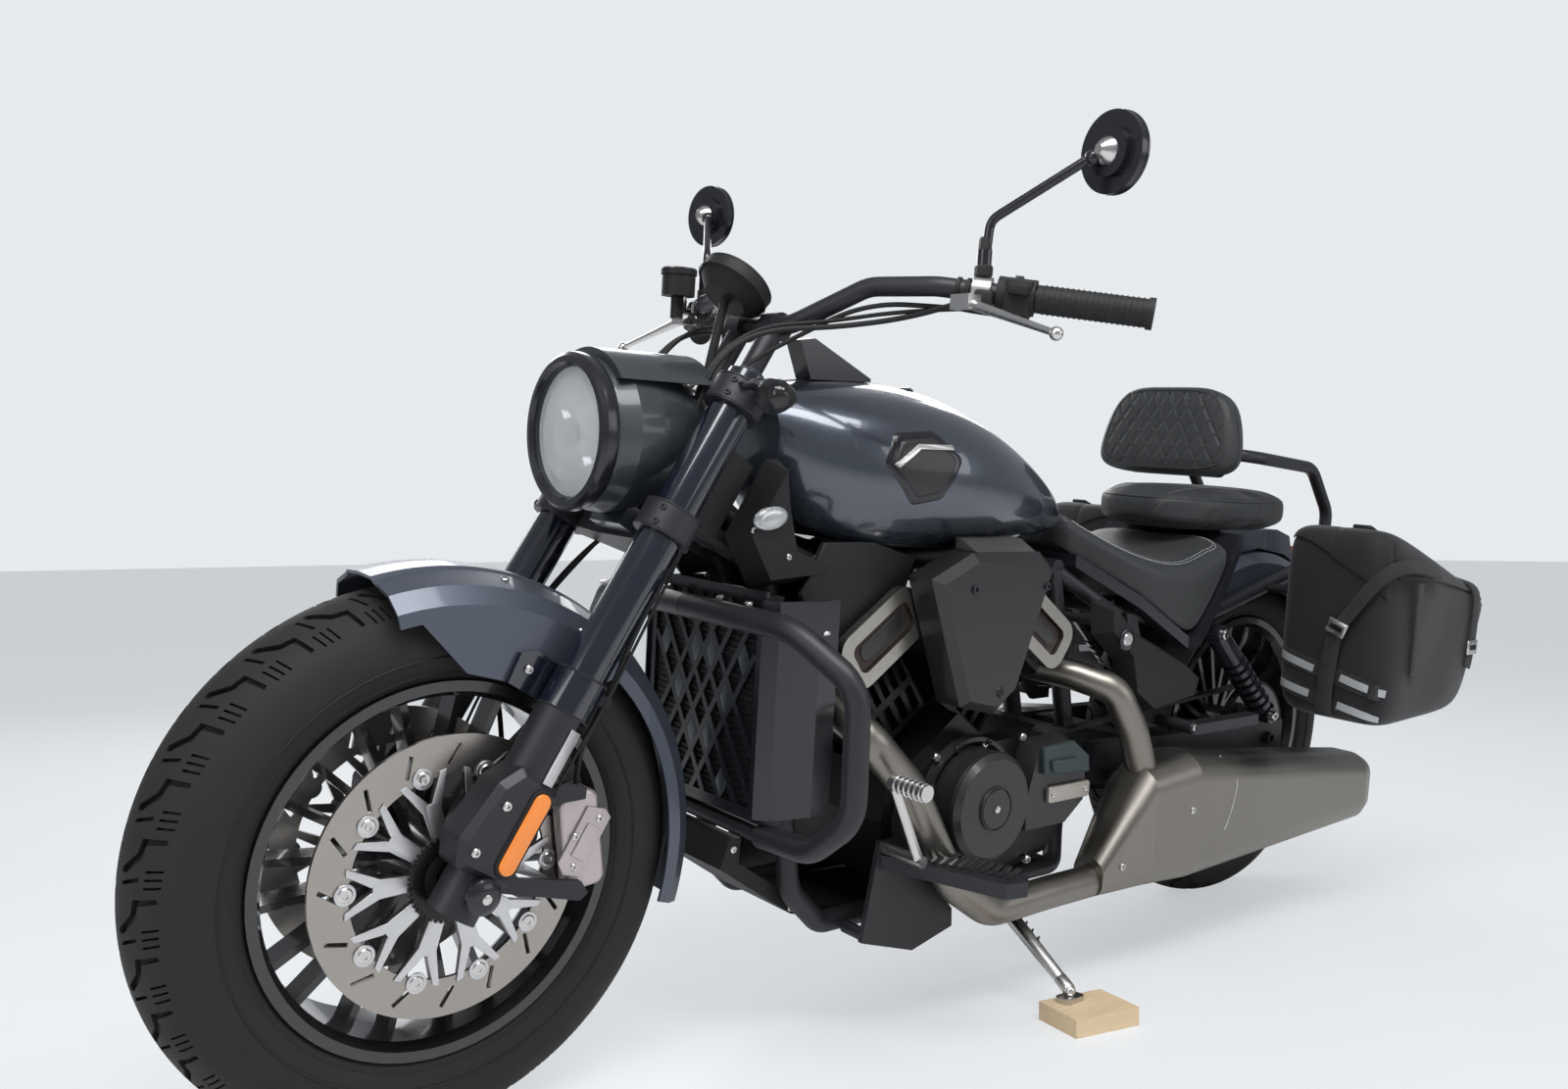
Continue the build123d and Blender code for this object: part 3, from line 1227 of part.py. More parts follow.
# Everything so far leans onto the stand; the block lies flat under its foot
parked = {name: PARKED * part for name, part in pieces.items()}
with BuildPart() as block:
    with BuildSketch(Plane(origin=(-60, 320, 0), x_dir=(1, -0.23, 0), z_dir=(0, 0, 1))):
        Rectangle(BLOCK_L, BLOCK_W)
    extrude(amount=BLOCK_T)
parked["stand_block"] = block.part

# The origin is on the floor under the middle of the parked machine
boxes = [part.bounding_box() for part in parked.values()]
MIDDLE = Vector((min(box.min.X for box in boxes) + max(box.max.X for box in boxes)) / 2,
                (min(box.min.Y for box in boxes) + max(box.max.Y for box in boxes)) / 2, 0)
os.makedirs("parts", exist_ok=True)
for name, part in parked.items():
    placed = part.moved(Location(-MIDDLE))
    placed.label = name
    export_step(placed, f"parts/{name}.step")


def row_point(point):
    """A point of the upright machine, in metres, on the parked machine."""
    return (PARKED * Pos(*point)).position - MIDDLE


print("middle", MIDDLE)
for label, point in (("front_axle", (FRONT_X, 0, TYRE_R)), ("rear_axle", (REAR_X, 0, TYRE_R)),
                     ("steering", stem(LOWER_CLAMP_S)), ("steering_up", stem(UPPER_CLAMP_S)),
                     ("stand", PIVOT), ("stand_on", PIVOT + STAND_AXIS * 100), ("side", (FRONT_X, 100, TYRE_R))):
    spot = row_point(point)
    print(label, round(spot.X, 4), round(spot.Y, 4), round(spot.Z, 4))
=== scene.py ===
"""Dresses a parked cruiser motorcycle: finishes, tyres, tank, seats, bags and trim."""

from __future__ import annotations

import json
import logging
import math
from dataclasses import dataclass, field
from enum import Enum
from typing import Callable, Sequence

import bmesh
import bpy
from mathutils import Matrix, Vector

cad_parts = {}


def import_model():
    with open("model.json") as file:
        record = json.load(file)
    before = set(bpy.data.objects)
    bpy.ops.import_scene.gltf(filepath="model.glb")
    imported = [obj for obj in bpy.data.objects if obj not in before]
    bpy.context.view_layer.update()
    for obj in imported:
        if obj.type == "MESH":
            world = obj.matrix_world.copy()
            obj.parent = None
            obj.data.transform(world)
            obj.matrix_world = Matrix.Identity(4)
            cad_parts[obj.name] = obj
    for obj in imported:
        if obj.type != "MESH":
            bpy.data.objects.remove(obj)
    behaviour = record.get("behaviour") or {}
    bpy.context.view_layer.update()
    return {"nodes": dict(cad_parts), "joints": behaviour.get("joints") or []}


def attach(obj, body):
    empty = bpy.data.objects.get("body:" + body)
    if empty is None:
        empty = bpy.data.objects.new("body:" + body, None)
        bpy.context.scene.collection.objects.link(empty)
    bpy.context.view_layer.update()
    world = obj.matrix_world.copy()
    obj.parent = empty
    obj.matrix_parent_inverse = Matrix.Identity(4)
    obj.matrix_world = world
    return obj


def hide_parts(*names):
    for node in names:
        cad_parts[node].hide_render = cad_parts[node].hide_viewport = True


LOG = logging.getLogger("motorcycle")
MM = 0.001
Point = Sequence[float]
Solid = bpy.types.Object


class Side(Enum):
    """Left and right of the machine, as seen by its rider."""

    LEFT = 1
    RIGHT = -1


class Body(Enum):
    """The moving bodies that a piece can ride on."""

    ROOT = "root"
    FRONT_END = "front_end"
    FRONT_WHEEL = "front_wheel"
    REAR_WHEEL = "rear_wheel"
    SIDE_STAND = "side_stand_leg"


# The parked stance


@dataclass
class Stance:
    """Where the upright machine stands once it leans on its stand.

    Args:
        lean_deg: lean towards the rider's left.
        crown: radius of the tyre's crown, on which the wheels roll over.
        rear_axle: middle of the rear axle on the upright machine.
    """

    lean_deg: float = 5.5
    crown: float = 0.085
    rear_axle: Vector = field(default_factory=lambda: Vector((-0.8, 0.0, 0.32)))

    def matrix(self, joints: Sequence[dict]) -> Matrix:
        """Works out the move from the upright machine to the parked one.

        Args:
            joints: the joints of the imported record.

        Returns:
            The matrix that parks an upright mesh.
        """
        lean = math.radians(self.lean_deg)
        settle = Matrix.Translation((0, 0, self.crown * (1 - math.cos(lean))))
        tilted = settle @ Matrix.Rotation(-lean, 4, "X")
        axle = next(j["pos_m"] for j in joints if j["name"] == "rear_wheel_spin")
        return Matrix.Translation(Vector(axle) - tilted @ self.rear_axle) @ tilted


@dataclass(frozen=True)
class Fork:
    """The steering geometry that the fork's pieces are laid out on."""

    rake_deg: float = 31.4
    front_x: float = 800.0
    axle_z: float = 320.0
    leg_y: float = 120.0

    def point(self, up: float, y: float = 0.0, ahead: float = 0.0) -> Vector:
        """Gives a point up the leg line from the axle, in mm."""
        rake = math.radians(self.rake_deg)
        return Vector((self.front_x - math.sin(rake) * up + math.cos(rake) * ahead, y,
                       self.axle_z + math.cos(rake) * up + math.sin(rake) * ahead))

    @property
    def way_up(self) -> Vector:
        """Direction up the legs."""
        rake = math.radians(self.rake_deg)
        return Vector((-math.sin(rake), 0, math.cos(rake)))

    @property
    def way_ahead(self) -> Vector:
        """Direction ahead of the legs, square to them."""
        rake = math.radians(self.rake_deg)
        return Vector((math.cos(rake), 0, math.sin(rake)))


# Shader node groups


class Groups:
    """Shared node groups: each puts out a tone mask and a height."""

    @staticmethod
    def _start(name: str, inputs: dict[str, float]) -> tuple[bpy.types.NodeTree, dict]:
        """Makes a group with a Vector-free set of float inputs.

        Args:
            name: the group's name.
            inputs: input names with their default values.

        Returns:
            The tree and its end nodes.
        """
        tree = bpy.data.node_groups.new(name, "ShaderNodeTree")
        for key, value in inputs.items():
            socket = tree.interface.new_socket(key, in_out="INPUT", socket_type="NodeSocketFloat")
            socket.default_value = value
        for key in ("Tone", "Height"):
            tree.interface.new_socket(key, in_out="OUTPUT", socket_type="NodeSocketFloat")
        ends = {"in": tree.nodes.new("NodeGroupInput"), "out": tree.nodes.new("NodeGroupOutput")}
        ends["coord"] = tree.nodes.new("ShaderNodeTexCoord")
        return tree, ends

    @staticmethod
    def grain() -> bpy.types.NodeTree:
        """Fine moulded grain with a slow change of tone."""
        tree, ends = Groups._start("fine_grain", {"Scale": 900.0, "Blotch": 9.0})
        fine = tree.nodes.new("ShaderNodeTexNoise")
        slow = tree.nodes.new("ShaderNodeTexNoise")
        fine.inputs["Detail"].default_value = 2.0
        slow.inputs["Detail"].default_value = 4.0
        tree.links.new(ends["coord"].outputs["Object"], fine.inputs["Vector"])
        tree.links.new(ends["coord"].outputs["Object"], slow.inputs["Vector"])
        tree.links.new(ends["in"].outputs["Scale"], fine.inputs["Scale"])
        tree.links.new(ends["in"].outputs["Blotch"], slow.inputs["Scale"])
        tree.links.new(slow.outputs["Fac"], ends["out"].inputs["Tone"])
        tree.links.new(fine.outputs["Fac"], ends["out"].inputs["Height"])
        return tree

    @staticmethod
    def brushed() -> bpy.types.NodeTree:
        """Streaks along the machine, as left by a brush or a lathe."""
        tree, ends = Groups._start("brushed_streaks", {"Scale": 420.0, "Blotch": 7.0})
        stretch = tree.nodes.new("ShaderNodeMapping")
        stretch.inputs["Scale"].default_value = (0.04, 1.0, 1.0)
        streak = tree.nodes.new("ShaderNodeTexNoise")
        streak.inputs["Detail"].default_value = 3.0
        slow = tree.nodes.new("ShaderNodeTexNoise")
        slow.inputs["Detail"].default_value = 5.0
        tree.links.new(ends["coord"].outputs["Object"], stretch.inputs["Vector"])
        tree.links.new(stretch.outputs["Vector"], streak.inputs["Vector"])
        tree.links.new(ends["coord"].outputs["Object"], slow.inputs["Vector"])
        tree.links.new(ends["in"].outputs["Scale"], streak.inputs["Scale"])
        tree.links.new(ends["in"].outputs["Blotch"], slow.inputs["Scale"])
        tree.links.new(slow.outputs["Fac"], ends["out"].inputs["Tone"])
        tree.links.new(streak.outputs["Fac"], ends["out"].inputs["Height"])
        return tree

    @staticmethod
    def leather() -> bpy.types.NodeTree:
        """Pebbled hide: small cells over a slow wrinkle."""
        tree, ends = Groups._start("pebbled_hide", {"Scale": 620.0, "Blotch": 14.0})
        cells = tree.nodes.new("ShaderNodeTexVoronoi")
        slow = tree.nodes.new("ShaderNodeTexNoise")
        slow.inputs["Detail"].default_value = 4.0
        tree.links.new(ends["coord"].outputs["Object"], cells.inputs["Vector"])
        tree.links.new(ends["coord"].outputs["Object"], slow.inputs["Vector"])
        tree.links.new(ends["in"].outputs["Scale"], cells.inputs["Scale"])
        tree.links.new(ends["in"].outputs["Blotch"], slow.inputs["Scale"])
        tree.links.new(slow.outputs["Fac"], ends["out"].inputs["Tone"])
        tree.links.new(cells.outputs["Distance"], ends["out"].inputs["Height"])
        return tree

    @staticmethod
    def weave() -> bpy.types.NodeTree:
        """Plain weave of a coated bag fabric, with faint creases."""
        tree, ends = Groups._start("bag_weave", {"Scale": 260.0, "Blotch": 11.0})
        waves = []
        for turn in ("X", "Z"):
            wave = tree.nodes.new("ShaderNodeTexWave")
            wave.bands_direction = turn
            wave.inputs["Distortion"].default_value = 0.4
            tree.links.new(ends["coord"].outputs["Object"], wave.inputs["Vector"])
            tree.links.new(ends["in"].outputs["Scale"], wave.inputs["Scale"])
            waves.append(wave)
        both = tree.nodes.new("ShaderNodeMath")
        both.operation = "MAXIMUM"
        tree.links.new(waves[0].outputs["Fac"], both.inputs[0])
        tree.links.new(waves[1].outputs["Fac"], both.inputs[1])
        slow = tree.nodes.new("ShaderNodeTexNoise")
        slow.inputs["Detail"].default_value = 6.0
        tree.links.new(ends["coord"].outputs["Object"], slow.inputs["Vector"])
        tree.links.new(ends["in"].outputs["Blotch"], slow.inputs["Scale"])
        tree.links.new(slow.outputs["Fac"], ends["out"].inputs["Tone"])
        tree.links.new(both.outputs["Value"], ends["out"].inputs["Height"])
        return tree

    @staticmethod
    def wood() -> bpy.types.NodeTree:
        """Long grain of sawn softwood."""
        tree, ends = Groups._start("sawn_grain", {"Scale": 60.0, "Blotch": 8.0})
        stretch = tree.nodes.new("ShaderNodeMapping")
        stretch.inputs["Scale"].default_value = (0.25, 2.2, 2.2)
        stretch.inputs["Rotation"].default_value = (0.0, 0.0, 0.22)
        rings = tree.nodes.new("ShaderNodeTexNoise")
        rings.inputs["Detail"].default_value = 6.0
        rings.inputs["Distortion"].default_value = 0.8
        tree.links.new(ends["coord"].outputs["Object"], stretch.inputs["Vector"])
        tree.links.new(stretch.outputs["Vector"], rings.inputs["Vector"])
        tree.links.new(ends["in"].outputs["Scale"], rings.inputs["Scale"])
        tree.links.new(rings.outputs["Fac"], ends["out"].inputs["Tone"])
        tree.links.new(rings.outputs["Fac"], ends["out"].inputs["Height"])
        return tree


class Texture(Enum):
    """The surface textures a finish can carry."""

    GRAIN = "fine_grain"
    BRUSHED = "brushed_streaks"
    HIDE = "pebbled_hide"
    WEAVE = "bag_weave"
    WOOD = "sawn_grain"


MAKERS: dict[Texture, Callable[[], bpy.types.NodeTree]] = {
    Texture.GRAIN: Groups.grain, Texture.BRUSHED: Groups.brushed, Texture.HIDE: Groups.leather,
    Texture.WEAVE: Groups.weave, Texture.WOOD: Groups.wood,
}


@dataclass(frozen=True)
class Finish:
    """One surface finish of the machine.

    Args:
        name: the finish in plain words.
        slot: the record's material slot it belongs to; not used.
        colour: base colour, linear.
        shade: second colour that the slow tone blends towards.
        metallic: 0 to 1.
        rough: lowest and highest roughness over the surface.
        coat: strength of a clear coat.
        texture: the relief it carries.
        scale: scale of that relief.
        blotch: scale of the slow tone.
        bump: height of the relief in metres.
        strength: strength of the relief.
        sheen: strength of a cloth sheen.
        transmission: 1 for glass.
        glow: emission strength.
    """

    name: str
    slot: str
    colour: tuple[float, float, float]
    shade: tuple[float, float, float]
    metallic: float = 0.0
    rough: tuple[float, float] = (0.4, 0.5)
    coat: float = 0.0
    texture: Texture = Texture.GRAIN
    scale: float = 900.0
    blotch: float = 9.0
    bump: float = 0.0002
    strength: float = 0.25
    sheen: float = 0.0
    transmission: float = 0.0
    glow: float = 0.0

    def material(self) -> bpy.types.Material:
        """Builds the material once and returns it."""
        made = bpy.data.materials.get(self.name)
        if made:
            return made
        made = bpy.data.materials.new(self.name)
        made.use_nodes = True
        tree = made.node_tree
        shader = tree.nodes["Principled BSDF"]
        shader.inputs["Metallic"].default_value = self.metallic
        shader.inputs["Coat Weight"].default_value = self.coat
        shader.inputs["Coat Roughness"].default_value = 0.06
        shader.inputs["Sheen Weight"].default_value = self.sheen
        shader.inputs["Transmission Weight"].default_value = self.transmission
        if not self.coat and self.metallic < 0.5 and not self.transmission:
            shader.inputs["Specular IOR Level"].default_value = 0.26
        relief = tree.nodes.new("ShaderNodeGroup")
        relief.node_tree = bpy.data.node_groups.get(self.texture.value) or MAKERS[self.texture]()
        relief.inputs["Scale"].default_value = self.scale
        relief.inputs["Blotch"].default_value = self.blotch
        blend = tree.nodes.new("ShaderNodeMix")
        blend.data_type = "RGBA"
        blend.inputs["A"].default_value = (*self.colour, 1)
        blend.inputs["B"].default_value = (*self.shade, 1)
        tree.links.new(relief.outputs["Tone"], blend.inputs["Factor"])
        tree.links.new(blend.outputs["Result"], shader.inputs["Base Color"])
        rough = tree.nodes.new("ShaderNodeMapRange")
        rough.inputs["From Min"].default_value = 0.3
        rough.inputs["From Max"].default_value = 0.7
        rough.inputs["To Min"].default_value = self.rough[0]
        rough.inputs["To Max"].default_value = self.rough[1]
        tree.links.new(relief.outputs["Tone"], rough.inputs["Value"])
        tree.links.new(rough.outputs["Result"], shader.inputs["Roughness"])
        if self.strength > 0:
            bump = tree.nodes.new("ShaderNodeBump")
            bump.inputs["Strength"].default_value = self.strength
            bump.inputs["Distance"].default_value = self.bump
            tree.links.new(relief.outputs["Height"], bump.inputs["Height"])
            tree.links.new(bump.outputs["Normal"], shader.inputs["Normal"])
        if self.glow:
            shader.inputs["Emission Color"].default_value = (*self.colour, 1)
            shader.inputs["Emission Strength"].default_value = self.glow
        return made


class Finishes:
    """Every finish of the machine."""

    tank = Finish("gunmetal_gloss", "tank_paint", (0.046, 0.056, 0.076), (0.060, 0.071, 0.092), 0.6,
                  (0.24, 0.30), 1.0, scale=2600, bump=0.00002, strength=0.12)
    guard = Finish("gunmetal_satin", "fender_paint", (0.062, 0.072, 0.098), (0.080, 0.092, 0.120), 0.6,
                   (0.36, 0.44), 0.35, scale=2600, bump=0.00002, strength=0.15)
    nacelle = Finish("nacelle_grey", "gloss_black", (0.030, 0.036, 0.042), (0.040, 0.047, 0.054), 0.3,
                     (0.34, 0.42), 0.4, scale=1800, bump=0.00003, strength=0.15)
    tyre = Finish("tyre_rubber", "tyre", (0.013, 0.012, 0.012), (0.021, 0.020, 0.020), 0.0,
                  (0.62, 0.78), scale=1100, bump=0.0002, strength=0.35)
    rim = Finish("rim_black", "wheel_black", (0.008, 0.008, 0.009), (0.012, 0.012, 0.013), 0.0,
                 (0.22, 0.32), 0.5, scale=1500, bump=0.00004, strength=0.2)
    frame = Finish("frame_black", "frame_black", (0.007, 0.007, 0.009), (0.011, 0.011, 0.013), 0.1,
                   (0.38, 0.50), 0.2, scale=1600, bump=0.00005, strength=0.25)
    fork = Finish("fork_gloss", "fork_black", (0.004, 0.006, 0.014), (0.006, 0.008, 0.018), 0.2,
                  (0.16, 0.22), 1.0, scale=2400, bump=0.00002, strength=0.1)
    stanchion = Finish("hard_chrome", "chrome", (0.62, 0.62, 0.63), (0.70, 0.70, 0.71), 1.0,
                       (0.10, 0.16), texture=Texture.BRUSHED, bump=0.00002, strength=0.1)
    steel = Finish("brushed_warm_steel", "steel", (0.195, 0.182, 0.163), (0.27, 0.252, 0.227), 1.0,
                   (0.32, 0.44), texture=Texture.BRUSHED, scale=900, bump=0.00005, strength=0.15)
    bright = Finish("bright_steel", "steel", (0.52, 0.51, 0.50), (0.62, 0.61, 0.60), 1.0,
                    (0.22, 0.32), texture=Texture.BRUSHED, scale=900, bump=0.00004, strength=0.2)
    rotor = Finish("ground_rotor", "disc_steel", (0.29, 0.27, 0.25), (0.38, 0.355, 0.33), 1.0,
                   (0.26, 0.38), texture=Texture.BRUSHED, scale=900, bump=0.00005, strength=0.25)
    carrier = Finish("carrier_alloy", "disc_steel", (0.50, 0.50, 0.51), (0.60, 0.60, 0.61), 1.0,
                     (0.32, 0.42), scale=1400, bump=0.00006, strength=0.2)
    caliper = Finish("caliper_alloy", "steel", (0.42, 0.37, 0.37), (0.52, 0.46, 0.46), 0.8,
                     (0.38, 0.48), scale=1300, bump=0.0001, strength=0.3)
    bezel = Finish("bezel_nickel", "chrome", (0.32, 0.305, 0.275), (0.44, 0.42, 0.385), 1.0,
                   (0.24, 0.34), texture=Texture.BRUSHED, scale=700, bump=0.00005, strength=0.25)
    recess = Finish("recess_brown", "engine_black", (0.030, 0.022, 0.020), (0.060, 0.045, 0.040), 0.3,
                    (0.5, 0.6), scale=1200, bump=0.0001, strength=0.3)
    engine = Finish("engine_black", "engine_black", (0.007, 0.007, 0.007), (0.013, 0.012, 0.012), 0.25,
                    (0.40, 0.55), scale=1300, bump=0.00012, strength=0.35)
    cover = Finish("cover_black", "cover_grey", (0.014, 0.014, 0.015), (0.020, 0.020, 0.021), 0.2,
                   (0.36, 0.46), 0.15, scale=1700, bump=0.00006, strength=0.25)
    gearbox = Finish("gearbox_teal", "cover_grey", (0.035, 0.048, 0.050), (0.050, 0.066, 0.068), 0.4,
                     (0.40, 0.5), scale=1400, bump=0.00008, strength=0.3)
    plastic = Finish("grained_plastic", "black_plastic", (0.009, 0.009, 0.010), (0.014, 0.014, 0.015), 0.0,
                     (0.48, 0.60), scale=1300, bump=0.00012, strength=0.4)
    gloss = Finish("gloss_black", "gloss_black", (0.007, 0.007, 0.009), (0.010, 0.010, 0.012), 0.0,
                   (0.14, 0.20), 0.8, scale=2200, bump=0.00002, strength=0.08)
    rubber = Finish("grip_rubber", "rubber", (0.014, 0.014, 0.015), (0.020, 0.020, 0.021), 0.0,
                    (0.55, 0.68), scale=1200, bump=0.00015, strength=0.4)
    seat = Finish("seat_hide", "seat_leather", (0.020, 0.022, 0.024), (0.030, 0.032, 0.034), 0.0,
                  (0.40, 0.52), texture=Texture.HIDE, scale=700, bump=0.00025, strength=0.4, sheen=0.05)
    thread = Finish("stitch_thread", "seat_leather", (0.28, 0.28, 0.28), (0.36, 0.36, 0.36), 0.0,
                    (0.7, 0.8), scale=3000, bump=0.0001, strength=0.3)
    dark_thread = Finish("seam_thread", "seat_leather", (0.06, 0.06, 0.062), (0.085, 0.085, 0.088), 0.0,
                         (0.7, 0.8), scale=3000, bump=0.0001, strength=0.3)
    bag = Finish("bag_cloth", "bag_fabric", (0.006, 0.006, 0.007), (0.012, 0.012, 0.014), 0.0,
                 (0.58, 0.72), texture=Texture.WEAVE, scale=240, bump=0.0003, strength=0.45, sheen=0.15)
    webbing = Finish("strap_webbing", "bag_fabric", (0.014, 0.014, 0.015), (0.020, 0.020, 0.021), 0.0,
                     (0.6, 0.7), texture=Texture.WEAVE, scale=520, bump=0.0004, strength=0.6, sheen=0.1)
    reflective = Finish("reflective_tape", "bag_fabric", (0.30, 0.31, 0.32), (0.38, 0.39, 0.40), 0.3,
                        (0.35, 0.45), scale=1500, bump=0.00008, strength=0.3)
    lens = Finish("clear_lens", "clear_lens", (0.92, 0.95, 0.97), (0.96, 0.98, 1.0), 0.0,
                  (0.02, 0.05), strength=0.0, transmission=1.0)
    # Darkened chrome of the lamp petals: painted shade inside the headlamp, darker than real chrome.
    bowl = Finish("lamp_chrome_painted_shade", "chrome", (0.15, 0.155, 0.165), (0.26, 0.265, 0.275), 1.0,
                         (0.08, 0.14), scale=500, bump=0.0001, strength=0.1)
    # Near-black chrome of the lamp's bowl liner: painted shade inside the headlamp, far darker than real chrome.
    painted_shade_liner = Finish("liner_chrome_painted_shade", "chrome", (0.030, 0.032, 0.035), (0.055, 0.058, 0.062), 1.0,
                  (0.16, 0.26), scale=500, bump=0.0001, strength=0.1)
    fluted = Finish("fluted_lens", "clear_lens", (0.86, 0.90, 0.92), (0.93, 0.96, 0.98), 0.0,
                    (0.03, 0.08), scale=260, bump=0.0008, strength=0.5, transmission=1.0)
    crest = Finish("crest_grey", "cover_grey", (0.060, 0.058, 0.055), (0.085, 0.082, 0.078), 0.2,
                   (0.40, 0.5), scale=1500, bump=0.00006, strength=0.25)
    plate = Finish("plate_beige", "steel", (0.36, 0.33, 0.30), (0.46, 0.43, 0.39), 0.85,
                   (0.36, 0.46), scale=1500, bump=0.00006, strength=0.25)
    orange = Finish("orange_reflector", "amber_lens", (0.72, 0.17, 0.008), (0.82, 0.24, 0.012), 0.0,
                    (0.12, 0.2), 0.8, scale=700, bump=0.0003, strength=0.4)
    red = Finish("red_lens", "red_lens", (0.30, 0.03, 0.02), (0.42, 0.06, 0.04), 0.0,
                 (0.12, 0.2), 0.8, scale=700, bump=0.0003, strength=0.3)
    wood = Finish("sawn_wood", "wood", (0.50, 0.37, 0.22), (0.68, 0.55, 0.38), 0.0,
                  (0.6, 0.75), texture=Texture.WOOD, scale=60, bump=0.0004, strength=0.4)
    floor = Finish("pale_floor", "wood", (0.80, 0.81, 0.82), (0.84, 0.85, 0.86), 0.0,
                   (0.30, 0.36), scale=60, bump=0.0001, strength=0.02)


CARRIED: dict[str, Finish] = {
    "front_rim": Finishes.rim, "rear_rim": Finishes.rim, "front_discs": Finishes.rotor,
    "rear_disc": Finishes.rotor, "drive_belt": Finishes.rubber, "fork_clamps": Finishes.frame,
    "fork_tubes": Finishes.fork, "fork_stanchions": Finishes.stanchion, "fork_lowers": Finishes.frame,
    "front_calipers": Finishes.caliper, "front_fender": Finishes.guard, "lamp_shell": Finishes.nacelle,
    "lamp_lens": Finishes.lens, "handlebar": Finishes.frame, "grips": Finishes.rubber,
    "levers": Finishes.bright, "mirrors": Finishes.gloss, "instrument": Finishes.plastic,
    "turn_signals": Finishes.plastic, "frame": Finishes.frame, "crankcase": Finishes.engine,
    "cylinders": Finishes.engine, "head_bezels": Finishes.bezel, "engine_covers": Finishes.cover,
    "air_cleaner": Finishes.cover, "radiator": Finishes.plastic, "radiator_guard": Finishes.gloss,
    "crash_bars": Finishes.frame, "belly_pan": Finishes.plastic, "fuel_tank": Finishes.tank,
    "tank_console": Finishes.gloss, "neck_covers": Finishes.plastic, "marker_lamps": Finishes.lens,
    "rider_seat": Finishes.seat, "seat_tray": Finishes.gloss, "pillion_pad": Finishes.seat,
    "backrest_pad": Finishes.seat, "backrest_bar": Finishes.frame, "rear_fender": Finishes.guard,
    "tail_lamp": Finishes.red, "side_covers": Finishes.plastic, "swingarm": Finishes.frame,
    "rear_shocks": Finishes.gloss, "exhaust_pipes": Finishes.steel, "mufflers": Finishes.steel,
    "saddlebag_left": Finishes.bag, "saddlebag_right": Finishes.bag, "footrests": Finishes.frame,
    "foot_controls": Finishes.bright, "rear_caliper": Finishes.caliper, "side_stand": Finishes.bright,
    "stand_block": Finishes.wood, "front_tyre": Finishes.tyre, "rear_tyre": Finishes.tyre,
}


# The bench: modelling moves shared by every sub-assembly


